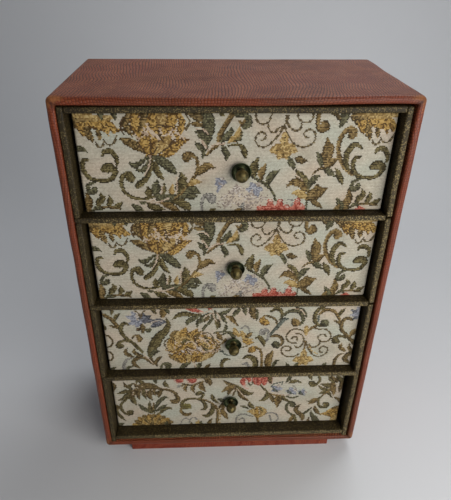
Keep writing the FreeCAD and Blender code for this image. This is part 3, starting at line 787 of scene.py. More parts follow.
    # blue flowers and pale twigs
    w.sew("faint", (8, 12, 12, 6), (-6, 5), (0, 8), (7, 7.4), (15, 9), fill=0.3, rough=1.3)
    smallFlower(w, -8.2, 17.2, 3.3, 5, 70)
    w.sew("blue", (1.6, 2, 0.8), (-8.4, 15), (-9.2, 13.4), (-9.8, 11.8))
    smallFlower(w, 10, 12.8, 4.4, 6, 60)
    smallFlower(w, 0.6, 13.4, 2.6, 5, 30, "faint")
    for points in (((-6, 2), (-3.4, 5.4), (-1.4, 8), (-2, 12)), ((14, 9.4), (10, 7.4), (6, 7.4), (3, 10)),
                   ((-5, 9), (-4.4, 5), (-6, 3)), ((4, 3.4), (8, 4.4), (12, 5.4), (13.6, 8)),
                   ((6.4, 1), (7.6, 4.6), (6.6, 8))):
        w.line(*points, width=0.9, yarn="faint", dash=1.9)
    w.sew("grey", (2, 3.6, 1), (2, -1), (3.2, 2), (4.4, 5))
    w.sew("bronze", (3, 2.4, 1), (-1, -1), (0.8, 0.4), (3, 1.4))
    for tips in (((13.6, 2.6), (18.8, 6.6), (24, 6.8), (27.4, 3)), ((28, 2.6), (33.4, 7), (36, 3.6))):
        for x, z in tips:
            middle = (tips[0][0] + tips[-1][0]) / 2
            w.sew("red", (3.4, 4.2, 3), (middle + 0.6 * (x - middle), -2), (x, z * 0.5), (x, z - 0.8),
                  rough=1.1)
            w.sew("blush", (2.4, 0.9), (x, z - 0.4), (x, z + 0.4), fill=0.75)
    w.sew("red", (2.6, 3.6, 3.4, 2.4), (12.4, 0.6), (17, 1.6), (23, 1.6), (28.4, 0.6), rough=1.2, lean=0.5)
    w.sew("red", (2.4, 3.4, 2.2), (28.4, 0.6), (32.4, 1.8), (36.6, 0.8), rough=1.2, lean=0.5)
    w.line((27.4, 4), (28.8, 6.8), (31, 5.8), (30.4, 3), yarn="grey", dash=0, fill=0.8)
    # plant right of the middle
    w.sew("moss", (1, 1.2, 1.2), (38.6, 1), (38.6, 8), (38.4, 13))
    w.sew("olive", (1.6, 5, 4.6, 0.8), (38.2, 12.6), (36, 17), (33.6, 20.4), (31.2, 24), saw=0.2, lean=-0.4)
    w.sew("vein", (0.9, 0.9, 0.8), (38, 13.2), (34.6, 18), (31, 21.4))
    w.sew("bronze", (1, 4, 4.6, 3, 0.8), (38.4, 11), (35, 15), (31.8, 17), (29.4, 16.4), (26.8, 14.4),
          saw=0.2)
    w.sew("gilt", (1.8, 4.6, 4, 1), (38.6, 7.4), (35.6, 9.4), (33, 10.8), (30.2, 10.4), lean=-0.3)
    w.sew("moss", (1.2, 4, 3.6, 1), (38.8, 13.4), (40, 16.8), (41.6, 19.2), (44, 20.6))
    w.sew("bronze", (2, 6.6, 6.6, 3.4, 0.8), (39, 7), (41.6, 9.4), (44, 11.4), (46.4, 12), (49, 13.2),
          saw=0.25)
    w.sew("bronze", (3, 2.4, 0.8), (42, 11.6), (42.8, 13.6), (43.4, 15.4))
    w.sew("brown", (1.4, 3.4, 3, 0.8), (39.6, 7.2), (42.4, 5.4), (44.6, 3.6), (47, 1.6))
    w.sew("bronze", (1.4, 6, 6, 1), (46, 27), (46.6, 31.4), (46.8, 35.4), (45.6, 40.6), lean=-0.2)
    w.sew("brown", (0.7, 0.7), (46.2, 28), (46.4, 38), fill=0.7)
    w.sew("moss", (1, 3, 3, 0.8), (44.2, 25), (43.6, 28), (42.6, 31), (41.2, 33.4))
    w.sew("bronze", (1.4, 4, 3.6, 0.8), (46, 25), (48.4, 26.8), (50.2, 28.6), (52.4, 30), lean=0.5)
    w.sew("moss", (1.4, 3.8, 3.6, 0.8), (45.8, 24.8), (48, 23.2), (49.8, 21.8), (52, 20.2))
    w.sew("olive", (0.8, 3.6, 3.6, 0.8), (52, 24.4), (53.8, 21.6), (55.4, 18.6), (56.6, 15.4))
    w.sew("brown", (0.8, 1.4, 2), (40, 21.4), (43, 24), (46, 24.8))
    w.sew("moss", (0.8, 3.4, 3.4, 1), (54.8, 7.4), (56.6, 4.4), (58, 1.8), (58.6, -1))
    w.sew("bronze", (2.4, 3.4, 1), (54.4, -1), (55.6, 1.4), (56.6, 3.6))
    # long scroll
    w.sew("bronze", (1.2, 2.2, 2.4, 2.6, 2.4, 2.6, 3, 5, 5.4, 4), (61.4, 20.6), (57.8, 23.6), (54.4, 28),
          (52.4, 33), (52, 38), (53.2, 42.8), (56, 45.4), (57.8, 44.2), (58.2, 43), (57.8, 42), lean=0.45)
    w.sew("olive", (0.8, 2.8, 3.4, 3.4, 2.6, 1.8), (64.2, 35.2), (61, 37.4), (58.2, 35.6), (56.6, 31.4),
          (57.2, 27), (59, 23.6))
    w.sew("bronze", (2.2, 2.4, 2.2, 2.6, 4.4, 4.6), (40.2, 55), (39.8, 50), (40.4, 46.4), (42.2, 44.8),
          (44, 46.2), (43.4, 47.6), lean=0.5)
    w.sew("moss", (5, 4.6, 1), (53.4, 54), (52.6, 50), (51.4, 46.4))
    w.sew("brown", (1.8, 2.4, 1.6), (44.6, 54.2), (48, 53.2), (50.6, 50.4))
    w.sew("red", (2, 3.6, 2), (65.4, -1), (68.4, 0.6), (71.4, -1))


def secondCut(w):      # third drawer
    # stem and hooks at the left
    w.sew("bronze", (2.4, 2.8, 2.8, 2.4, 2.4), (-82, 117.2), (-78.4, 115.4), (-75.4, 112.6), (-73, 108.8),
          (-70.4, 104.6))
    w.sew("olive", (1.4, 3, 0.8), (-73, 112), (-72.2, 115), (-69.2, 116.8))
    w.sew("olive", (2.6, 1.8, 0.8), (-74, 120.4), (-74.4, 118), (-75, 116.4))
    w.sew("brown", (1.2, 2.2, 0.8), (-71.4, 105.2), (-74, 106.4), (-76.8, 107.6))
    w.sew("olive", (1.4, 2.4, 2.8, 3, 2.8, 2.4, 2.4, 2.6, 2.4, 2), (-65, 108.2), (-66.9, 109.2), (-69, 108.4),
          (-70.2, 105.4), (-70, 101.6), (-68.4, 98.2), (-65.6, 95), (-62.6, 91.6), (-60.2, 88), (-58.2, 84.6))
    w.sew("olive", (1.2, 2, 2.6, 3.6, 5, 5.2, 3.4), (-65.8, 94), (-68.8, 95), (-71.6, 94), (-73, 92),
          (-72.4, 90.6), (-71.8, 90.8), (-71, 90.6))
    w.sew("bronze", (1.8, 4.2, 3.4, 0.8), (-59.6, 94.2), (-59, 96.4), (-59.8, 98.6), (-61, 100))
    w.sew("brown", (0.8, 1.8, 0.8), (-63.8, 96.4), (-62.6, 98.6), (-60.8, 99.8))
    w.sew("brown", (1.4, 3.4, 3.2, 0.6), (-64.4, 81), (-67.4, 82.8), (-69, 85.4), (-67.8, 88.8), lean=0.4)
    w.sew("brown", (1.8, 3.2, 3, 0.6), (-58.4, 82), (-61.2, 83), (-63.4, 85.2), (-63.2, 88.2), lean=0.4)
    w.sew("brown", (2.2, 3.2, 3.4, 3.2, 1.2), (-58.6, 80.8), (-62.4, 79.4), (-64.6, 76.8), (-63.8, 73.6),
          (-61.2, 71))
    w.sew("grey", (0.8, 2, 2.4, 2.4), (-65.4, 80.2), (-69, 78.2), (-70.9, 75), (-71.6, 68))
    w.sew("brown", (2.2, 2.4, 2.2, 1), (-61.4, 81.4), (-57.6, 80), (-55, 77.6), (-51.8, 73.6))
    w.sew("vein", (1, 1, 0.8), (-57.6, 83.8), (-55, 79.4), (-51.4, 74.6))
    w.sew("moss", (1.2, 2.8, 1), (-70, 68.6), (-68.4, 71.6), (-65.8, 72.6))
    w.sew("moss", (1.2, 3, 0.8), (-80.4, 68), (-78.8, 70.6), (-76.6, 72.2))
    w.sew("olive", (1.6, 3.4, 0.8), (-82, 103), (-80.6, 105.6), (-80.4, 108.4))
    w.line((-82, 100), (-78.6, 99.4), (-76.4, 96), (-76.8, 92), (-79.4, 89.9), (-82, 90), yarn="brown",
           width=1.3)
    w.line((-82, 86), (-79, 85.4), (-77.5, 82), (-78.6, 78.8), (-82, 77.6), yarn="brown", width=1.3)
    # blue flower
    for yarn, tip in (("blue", (-65.8, 115)), ("blue", (-62.6, 118.4)), ("faint", (-59, 118)),
                      ("dusk", (-55, 116.6)), ("dusk", (-51.2, 115)), ("dusk", (-50, 111.6)),
                      ("blue", (-65, 108.8)), ("blue", (-60.6, 106.6))):
        w.sew(yarn, (1.8, 3.8, 3.4, 0.8), *spoke((-57.4, 110.4), tip, 0, 0.35, 0.7, 1), rough=1.1)
    w.sew("faint", (1, 2.6, 1), (-51, 109.4), (-47.4, 111.2), (-43.4, 110.4), rough=1.1)
    w.sew("dusk", (1.4, 4.2, 4, 0.8), (-51.2, 106.4), (-48.6, 107.6), (-46, 108.6), (-43, 109.4), rough=1.1)
    w.line((-50, 110.8), (-47.4, 112), (-44, 111.6), (-42.2, 109.4), yarn="dusk", width=0.9)
    w.sew("shade", (2.2, 2.2), (-59.6, 103.8), (-59, 104.6))
    w.sew("brown", (3, 3.6, 2), (-56.6, 107), (-56.4, 104.6), (-56.8, 101.6))
    w.sew("moss", (2, 3.2, 2), (-54.4, 104), (-53, 103), (-51.8, 104.2))
    w.line((-60.4, 119), (-58.8, 117.4), (-57.4, 114), yarn="brown", dash=0)
    w.line((-54.4, 119), (-56, 116.6), (-57, 113.4), yarn="brown", dash=0)
    # long leaf
    w.sew("olive", (0.8, 3.2, 5, 6.6, 7.4, 5, 1.8, 1), (-41.4, 112.8), (-40.4, 107.6), (-42.8, 102.4),
          (-46.6, 97.8), (-49.6, 92.4), (-52.6, 86.6), (-53.6, 81), (-52.6, 77.4), saw=0.15, teeth=12)
    w.sew("moss", (1.2, 3.8, 3.8, 0.8), (-52.8, 81), (-51.6, 83.4), (-49.8, 85.4), (-47.2, 85.8))
    w.sew("brown", (1, 2.6, 2.8, 0.8), (-50, 73), (-49.6, 76.6), (-48, 79.4), (-46.2, 81))
    w.sew("brown", (1.4, 1.4, 1), (-53, 79.4), (-51.4, 76), (-49.6, 72.6))
    w.sew("moss", (1.6, 1.8, 2.4, 4.6, 5, 4), (-47.2, 69), (-46.4, 73), (-44.4, 74.4), (-42.8, 73.6),
          (-42.2, 72.6), (-42.2, 71.4))
    w.sew("olive", (3.2, 2.4, 0.8), (-49.2, 120.4), (-48.4, 118), (-47.4, 116))
    w.sew("bronze", (3.4, 4.8, 3), (-43.4, 119), (-43.2, 116.6), (-43.6, 114.6), lean=0.5)
    w.sew("moss", (3.2, 2.6, 1), (-41.2, 120.4), (-40.4, 118), (-39.4, 116.4))
    # red edge and the fan of leaves
    w.sew("red", (1.6, 3, 2.6, 0.8), (-28.6, 120), (-25, 118.8), (-21.6, 118), (-18.6, 117.4), rough=1.2)
    w.sew("red", (2.4, 1.6), (-15, 120.4), (-14, 119))
    w.sew("olive", (1.6, 3.2, 3.6, 3.2, 0.8), (-20.4, 115), (-25.4, 115), (-30, 116), (-34, 114.8),
          (-37.8, 111.8), saw=0.35, teeth=9)
    w.sew("moss", (1.6, 3.6, 3.6, 3.2, 0.8), (-20.4, 114.4), (-23.8, 112.6), (-26.6, 111), (-28.4, 109.2),
          (-29, 106.8), saw=0.2)
    w.sew("moss", (1.8, 4.2, 4, 3, 0.8), (-15, 115.8), (-17.6, 113), (-20, 110.6), (-21.8, 108.8),
          (-22.6, 105.4))
    w.sew("brown", (1.4, 2.8, 1.2), (-14.8, 113.6), (-16, 111.6), (-17.8, 109.6))
    w.sew("moss", (1.8, 2.1, 2, 1.9, 1.6, 0.8), (-12.8, 115), (-13, 111.6), (-15, 108.4), (-17.4, 105.4),
          (-18.8, 103), (-19.2, 100.4))
    w.sew("olive", (1.4, 3.8, 3.4, 0.8), (-10.8, 112), (-9.8, 108.8), (-9.2, 106.4), (-9.8, 103.2), lean=-0.5)
    w.sew("moss", (1.2, 1.8, 1.2), (-11.2, 118), (-11, 115), (-10.8, 111))
    w.sew("moss", (2.2, 3.4, 2.8, 0.8), (-8.6, 115.4), (-7.2, 112.8), (-5.6, 110.6), (-3.8, 107.8))
    w.sew("moss", (1.2, 3.2, 3, 1.4), (-9.4, 115.6), (-6, 116), (-3.4, 117.4), (-1, 119.6))
    w.sew("moss", (0.8, 2.6, 3.4, 3), (-0.8, 112.8), (0.8, 114.8), (2, 116.4), (3.6, 118.4), lean=-0.4)
    w.sew("bronze", (1.2, 3.4, 3.2, 1.6, 0.8), (-4.4, 113.8), (-1.6, 112.2), (0.4, 109.8), (1.8, 107.6),
          (3.2, 105.8), lean=-0.4)
    for points in (((-21, 116.6), (-17, 117), (-13, 119.4)), ((-12.6, 118.4), (-11.8, 113), (-10.4, 109.8)),
                   ((-9.8, 116), (-8.4, 113), (-8, 110)), ((-13.6, 116), (-16.8, 114), (-17.8, 112.4))):
        w.sew("vein", (1, 1, 0.8), *points)
    w.sew("moss", (3.4, 3, 0.8), (6.6, 120.4), (7.4, 117.4), (8, 114.2))
    w.sew("brown", (4, 4.4, 3.6, 1), (11.8, 120.4), (12, 116.6), (12.8, 113.4), (14, 110.8))
    w.sew("moss", (1.4, 2, 1.6, 0.8), (14.8, 118), (15.3, 114.6), (15.2, 111.8), (14.6, 109.4))
    # bloom
    w.sew("vein", (9, 18, 19, 12), (-38, 89), (-30, 91), (-22, 90), (-14, 89), rough=1.2)
    w.sew("vein", (3, 6, 6, 3), (-37, 81), (-30, 79.4), (-23, 79.6), (-16, 82), rough=1.2)
    w.petal("ochre", (12, 22, 23, 14), (-38, 89), (-30, 91), (-22, 90), (-14, 89), fill=0.45)
    w.petal("ochre", (5, 8, 8, 5), (-37, 81), (-30, 79.4), (-23, 79.6), (-16, 82), fill=0.5)
    w.sew("bronze", (2.4, 3.6, 3, 0.8), (-37.6, 95), (-38.4, 98.4), (-37, 101), (-34.6, 102.4), lean=0.5)
    w.petal("gilt", (3, 4.4, 3.6, 1), (-34.6, 94.4), (-35.2, 97.6), (-34, 100.4), (-32.8, 102))
    w.petal("ochre", (3.4, 5, 4.4, 0.8), (-31, 96.4), (-31.2, 99.4), (-30.6, 102), (-29.4, 105))
    w.petal("ochre", (2.4, 4.6, 4.6, 1.6), (-26.4, 95), (-25.8, 98.4), (-24, 100.6), (-22.4, 103))
    w.sew("bronze", (1.4, 2.8, 0.8), (-22.6, 95.4), (-21.8, 98.6), (-20.4, 101.6))
    w.petal("ochre", (1.4, 3.6, 2), (-36.6, 89.6), (-39.6, 92.2), (-39.6, 95.6))
    w.petal("gilt", (1.6, 3.4, 2.4), (-36.8, 85.8), (-39.8, 87.6), (-41, 91.4))
    w.petal("gilt", (2, 2.2, 2, 2.2, 2.6), (-34.6, 91.4), (-33, 95.2), (-29.6, 96.8), (-26.4, 95),
            (-25.2, 90.6))
    w.sew("olive", (2, 3.4, 2.4), (-32, 92), (-30, 94), (-27.8, 92.6), rough=1.1)
    w.petal("ochre", (3.4, 5, 3), (-32, 88.4), (-28.8, 89.8), (-25.8, 87.8))
    w.petal("ochre", (2.4, 4, 3.4, 1.4), (-35.4, 88), (-33.4, 86), (-31, 84.8), (-28.6, 84.4))
    w.sew("shade", (1.6, 2.2, 1), (-29.2, 86.4), (-28.2, 84.2), (-27.8, 82.2))
    w.sew("shade", (1, 2, 1), (-24.4, 95.6), (-23.4, 92.6), (-24, 90.4), fill=0.8)
    w.petal("ochre", (1.6, 3.6, 3.4, 1.4), (-21.8, 92.8), (-20.8, 89.8), (-19, 86.6), (-16.8, 84.2))
    w.petal("gilt", (2.4, 3.8, 3.6, 1.6), (-19.4, 93), (-18, 90.6), (-16.6, 88), (-15, 85.6))
    w.petal("ochre", (1.4, 3.2, 3.4, 2), (-17, 97.2), (-14, 94.2), (-12.8, 90), (-13.8, 86))
    w.sew("olive", (1, 2, 1), (-18, 97.4), (-16.4, 95.4), (-15.6, 92.6))
    w.sew("moss", (1, 2.4, 1.2), (-18.4, 87.4), (-17, 86), (-15.8, 85.2))
    w.sew("faint", (1.2, 2.8, 1.4), (-23, 88.2), (-21.7, 87), (-21, 85.4), rough=1.2)
    w.sew("faint", (1, 2.2, 1), (-32.8, 86), (-32.1, 84.8), (-31.4, 83.6), rough=1.2)
    for points in (((-20.3, 90), (-18.6, 88.4), (-16.8, 86.8)), ((-19, 91.2), (-17.2, 89.6), (-15.8, 88.4)),
                   ((-28.8, 88.4), (-27.4, 87.4), (-25.8, 87.6)), ((-36, 86.8), (-34.8, 87.4), (-33.8, 88.8)),
                   ((-28.8, 82), (-27.6, 81), (-26.6, 80)), ((-21.4, 80.6), (-18.6, 82.4), (-15.6, 84)),
                   ((-33.8, 82.4), (-32, 81), (-30.4, 79.8)), ((-24.4, 97.6), (-22.6, 98.6), (-20.6, 98.8)),
                   ((-29.6, 99.4), (-28.2, 98.2), (-27, 96.6))):
        w.line(*points, width=1.2, yarn="brown", dash=0, fill=0.85)
    for points in (((-29.9, 91.6), (-28, 93.2), (-25.4, 92.8), (-23.2, 89.8)),
                   ((-19.6, 92.8), (-17.7, 94.6), (-14.8, 94.2), (-12.4, 91)),
                   ((-12, 89.4), (-12.7, 86.2), (-15.5, 85), (-18.2, 84.2)),
                   ((-21, 89.4), (-19.9, 86.8), (-18.4, 84.4)), ((-33.2, 79.2), (-30, 78.2), (-26.2, 79)),
                   ((-22.9, 79.2), (-19.9, 80), (-16.2, 81.2)), ((-28.6, 85), (-27.3, 83.7), (-25.8, 82.5))):
        w.line(*points, width=0.9, yarn="vein", dash=0, fill=0.9)
    for yarn, line in (("bronze", ((-33.4, 75.4), (-37.2, 78.8), (-41.6, 82.8))),
                       ("ochre", ((-32.6, 76), (-35.4, 80), (-38.4, 84.4))),
                       ("ochre", ((-31, 75.6), (-31.8, 79.8), (-33.4, 84.2))),
                       ("gilt", ((-28.4, 75.8), (-28, 79), (-29.2, 82.4))),
                       ("ochre", ((-25.4, 75.8), (-24.6, 80), (-24.4, 84.8))),
                       ("ochre", ((-22.2, 76), (-21.2, 80), (-20.6, 84))),
                       ("gilt", ((-20.8, 76.4), (-17.4, 79.4), (-13.4, 82.8)))):
        w.petal(yarn, (2.4, 4.2, 4, 0.9), line[0], *spoke(line[1], line[2], 0, 0.5, 1))
    for line in (((-34.6, 75.8), (-38, 81.6)), ((-31.4, 76), (-34, 83)), ((-29.4, 76), (-30.4, 82)),
                 ((-26.6, 76), (-26.4, 83)), ((-23.4, 76), (-22.6, 83)), ((-21.4, 76.6), (-17.6, 82.4))):
        w.line(*line, width=0.85, yarn="shade", dash=0, fill=0.7)
    w.sew("bronze", (1, 1.8, 0.8), (-14.6, 79), (-12.6, 81), (-11, 83.6))
    w.line((-18.8, 99.4), (-16.2, 100.4), (-13.8, 98.8), (-12.6, 95.6))
    w.line((-13.2, 94.8), (-10.6, 92.4), (-10, 89.6), (-11.4, 86))
    w.line((-40.4, 96.2), (-42.6, 94.6), (-43.8, 91.6), (-42.2, 87.2))
    w.sew("moss", (2, 4.2, 1), (-35, 69), (-31.4, 72.6), (-27.4, 74.8))
    w.sew("moss", (4, 4, 0.8), (-23.6, 69), (-22, 72), (-20, 74.8))
    w.sew("vein", (1, 1), (-25.6, 75.2), (-23.8, 71))
    w.sew("brown", (3, 3, 0.8), (-17.6, 68), (-16.4, 71), (-14.4, 73.4))
    # round the knob
    w.sew("moss", (1, 1.4, 1.6, 2.4, 2.4, 1), (-12, 99.8), (-9.8, 101), (-6.8, 100.8), (-4.8, 102.6),
          (-4.2, 104.8), (-4.8, 106.6))
    w.sew("bronze", (1.8, 3.8, 2.8, 1), (-9.6, 100), (-8.6, 97.4), (-7.6, 95.4), (-6, 94))
    w.sew("bronze", (1, 1.9, 1.9), (-8.2, 89.6), (-6, 92), (-4.4, 94.4))
    w.sew("moss", (1.4, 2.4, 3, 2.6), (-6, 98.8), (-3.2, 100.4), (-0.6, 98.8), (1, 96))
    w.line((-7.8, 84), (-6.4, 85), (-5.6, 82.4), (-3.4, 81), (-1.6, 80.8), yarn="slate")
    w.sew("olive", (1, 2.8, 3.2, 2.6, 2.2), (-1.6, 77), (-4, 77.2), (-6, 75.4), (-6.8, 72.4), (-6.6, 68))
    w.petal("gilt", (2, 4, 2.4), (1, 103.2), (2, 100), (4.2, 97.4))
    w.petal("gilt", (1.6, 3.6, 2.6), (5.4, 101), (6.6, 98.6), (7.2, 95.8))
    w.petal("bronze", (1, 3.6, 2.2), (12.4, 99.4), (10.6, 98), (9, 95.8))
    w.petal("gilt", (2, 3.6, 1.4), (7, 94.6), (9.6, 93.8), (12.4, 94))
    w.petal("ochre", (2.4, 3.8, 1.2), (7.6, 92.4), (10.4, 91.4), (13.6, 91.6))
    w.line((5.4, 103.4), (8, 105.4), (10.2, 103.4), (10.6, 100.4), width=1.1, yarn="grey", dash=0, fill=0.85)
    w.line((6, 87.4), (8.6, 88), (10.6, 89.4))
    w.sew("brown", (1.4, 1.7, 1.7, 1.8, 1.6, 1.2), (28, 106.6), (27.2, 109.4), (25.2, 111.4), (22.6, 112.8),
          (20.6, 113.4), (19, 112.6), lean=0)
    w.petal("ochre", (2, 4.6, 5.6, 4), (19, 112), (18.8, 109.8), (20, 108.2), (21.4, 107.4))
    w.sew("slate", (1.2, 1.6, 2.2, 3, 3.2, 2.6, 0.8), (23.4, 96.4), (25.2, 99.2), (27.4, 102.4),
          (29.4, 105.6), (31, 108.4), (32.8, 110.4), (35.2, 110.6), lean=-0.3)
    w.sew("grey", (4.4, 4.8, 2.2, 1.8, 2, 1.8, 1.2), (19.2, 99.6), (19.6, 100.8), (21.6, 101.8), (22.8, 100),
          (23, 96.6), (22.4, 93.4), (21, 90.4))
    w.sew("olive", (1, 3.4, 4, 3, 1), (20.6, 88.4), (20, 91.6), (18.6, 94), (17, 95.8), (15, 95), lean=-0.3)
    w.sew("olive", (1.4, 3, 2.8, 2.2, 1.2), (23.4, 116.4), (26.4, 118.8), (29.2, 117.6), (30.6, 114.4),
          (30.2, 110.6))
    w.sew("moss", (1.2, 1.6, 2.4, 3, 3, 2.8, 2.6, 2.2, 1.2), (29.4, 110), (31.6, 113), (33.8, 115.6),
          (37, 117), (40.4, 116.4), (43, 113.8), (44.3, 110), (43.6, 106.8), (41, 104.8))
    w.sew("vein", (0.9, 0.9, 0.9), (36, 118.8), (41.6, 118), (45.2, 113.4))
    w.sew("moss", (1.2, 1.4, 1.2), (39, 119.6), (44, 117.4), (46.4, 112))
    w.sew("bronze", (3.4, 5.6, 5.2, 2), (38.6, 109.4), (39.6, 107.8), (40.2, 106.4), (41, 105), lean=0.5)
    w.sew("brown", (1.4, 2.4, 2.4, 2.4, 1.4), (24.6, 96), (28, 97), (31, 95.4), (32.6, 92), (31.6, 88.2),
          lean=-0.3)
    w.sew("moss", (3.4, 5.6, 5.2, 3), (27.6, 90.8), (28.2, 89.6), (28.6, 88.6), (29.4, 87.4), edge=0.55)
    w.petal("ochre", (4, 5.6, 4.2, 2.2), (12.2, 84.2), (13.2, 85.4), (14.2, 86.6), (15.8, 87.2))
    w.sew("bronze", (1.8, 2, 1.9, 1.8, 2.2), (15, 87.2), (17.8, 85.6), (19.2, 82), (19.7, 77), (19.8, 68))
    w.sew("olive", (0.8, 3.4, 4.4, 4.2, 3.6), (7.4, 77.4), (10.4, 79.4), (13.4, 78), (15.4, 75), (15.6, 68),
          lean=-0.5)
    w.sew("bronze", (3.6, 5.6, 5, 3.4, 0.8), (24.6, 69), (24, 74), (24.6, 78), (25.6, 81), (26.6, 84),
          lean=-0.4)
    w.sew("moss", (1.4, 2.6, 2.2, 0.8), (27.4, 69), (28.4, 72.6), (29.6, 74.6), (31.6, 75.2))
    w.sew("grey", (1.4, 3, 2), (7, 72.4), (9.4, 72.8), (11.8, 70))
    # line scrolls round a small flower
    for points in (((47, 97.6), (44.6, 100.8), (40, 102), (36.6, 100.4), (34.8, 96.6), (35.6, 92.8),
                    (38, 90.6), (41.6, 90)), ((38.4, 94), (39.6, 95.8), (41.6, 95), (42, 92.4)),
                   ((40.8, 98.4), (44.4, 97.4), (46.2, 93.7), (45.9, 89.8), (44.6, 87), (42.4, 86.4),
                    (40.6, 87.8)), ((52, 103), (55, 101.6), (59.4, 101.6), (62.5, 98.4), (63.8, 95),
                                    (62.6, 92), (60, 90.8), (56.8, 92), (55.2, 94.6), (56.6, 96.8),
                                    (59.2, 97), (60.4, 95.2)), ((56.8, 92), (56.8, 89.4), (54.8, 86.8),
                                                                (52.4, 86.4), (50, 89)),
                   ((44, 80.4), (40, 78.4), (35.6, 78.9), (32.8, 82), (32.3, 85), (33.8, 87.3), (36.4, 87.8),
                    (38.4, 85.8), (37.6, 83.5), (35.4, 83.8)), ((47.6, 92), (49, 87.5), (51, 83.2),
                                                                (54, 79.3), (57.5, 78), (60.8, 79.3),
                                                                (62.9, 82.8), (62, 85.8), (59.6, 86.9),
                                                                (57.6, 85), (58, 82.2), (59.4, 81.6))):
        w.line(*points, width=1.2)
    w.sew("gilt", (1, 1.1, 1), (50.4, 87), (53.4, 82.4), (56.6, 80.4), fill=0.7)
    w.sew("bronze", (1, 1.5, 2.2), (47.4, 92), (47.4, 86), (47, 81), lean=0)
    w.petal("gilt", (2.8, 3.4, 0.8), (46.8, 103.4), (47.3, 100), (47.4, 96.4))
    w.sew("bronze", (1.2, 2.4, 1.6), (48.6, 100.6), (50.4, 102.6), (53, 104.4), lean=0.2)
    diamondFlower(w, 47.4, 76.9)
    # right end
    w.sew("olive", (2.6, 3, 3, 3, 2.6, 2, 1.2), (56.4, 119), (53.6, 117.8), (52, 115), (51.4, 111.4),
          (52.4, 107.6), (55, 104.8), (58, 104))
    w.sew("slate", (1, 1.6, 1), (54.2, 114.2), (54, 111), (54.2, 107.4))
    w.sew("moss", (3.6, 5.8, 5, 2.6), (57.2, 107.8), (58.2, 106.6), (59, 105.8), (60, 105), lean=0.5)
    w.sew("bronze", (1.4, 2.4, 2.5, 2.4, 2.2, 1.8, 1), (54.2, 113.8), (56.8, 116.4), (60, 117.2),
          (63.4, 115.8), (65.8, 112.8), (67.4, 109.6), (68.4, 106.8))
    w.sew("olive", (1.4, 3.2, 1), (67, 112), (67.8, 115.2), (70, 118))
    w.sew("brown", (0.8, 2.2, 1), (64.2, 108.2), (66.6, 107), (69, 104.6))
    w.sew("brown", (1.2, 2.6, 2.8, 2.8, 2.8, 2.6, 2.6, 2.8, 3), (75.6, 108.4), (73.4, 110.2), (70.9, 109.4),
          (69.4, 106), (69.6, 102), (71.8, 98.4), (74.6, 95.2), (77.6, 91.6), (81.6, 87))
    w.sew("olive", (1.2, 2, 2.6, 4, 5.2, 5.2, 3.4), (73.6, 93.6), (70.8, 95.4), (68, 95.2), (66.4, 93.4),
          (67, 91.6), (67.6, 91.2), (68.8, 90.6))
    w.sew("bronze", (1.4, 4.2, 4.2, 1.6), (76.4, 95.2), (77.4, 98), (79.4, 99.6), (81.6, 100), lean=0.5)
    w.sew("bronze", (1.4, 3.2, 3, 0.6), (74.6, 82.2), (72.2, 84.4), (71, 86.6), (71.8, 89.6), lean=-0.4)
    w.sew("brown", (1.8, 3, 2.8, 0.6), (82, 81.6), (79, 82.6), (77, 85.2), (77, 88.4))
    w.sew("brown", (2.6, 3.6, 4, 3.6, 1.2), (81.6, 81), (77.6, 79.6), (75.6, 77), (76.2, 74.2), (78.8, 71.4))
    w.sew("brown", (0.8, 2.2, 2.6, 2.6), (73.8, 80.2), (70.9, 78.6), (69.1, 75.2), (68.6, 68))
    for yarn, tip in (("dusk", (73.8, 116.6)), ("blue", (77.4, 119)), ("dusk", (76.4, 109.4)),
                      ("blue", (74, 112.6))):
        w.sew(yarn, (2, 3.8, 0.9), *spoke((81, 113.4), tip, 0, 0.5, 1), rough=1.1)
    w.sew("moss", (3.4, 2.6, 0.8), (61.6, 68), (62.4, 70.4), (63.4, 72.4))
    w.sew("moss", (3, 2.6, 0.8), (37.6, 68), (37.2, 70.6), (36.4, 72.6))
    w.sew("moss", (3.6, 3, 0.8), (42, 68), (43, 70.6), (44.4, 72.8))


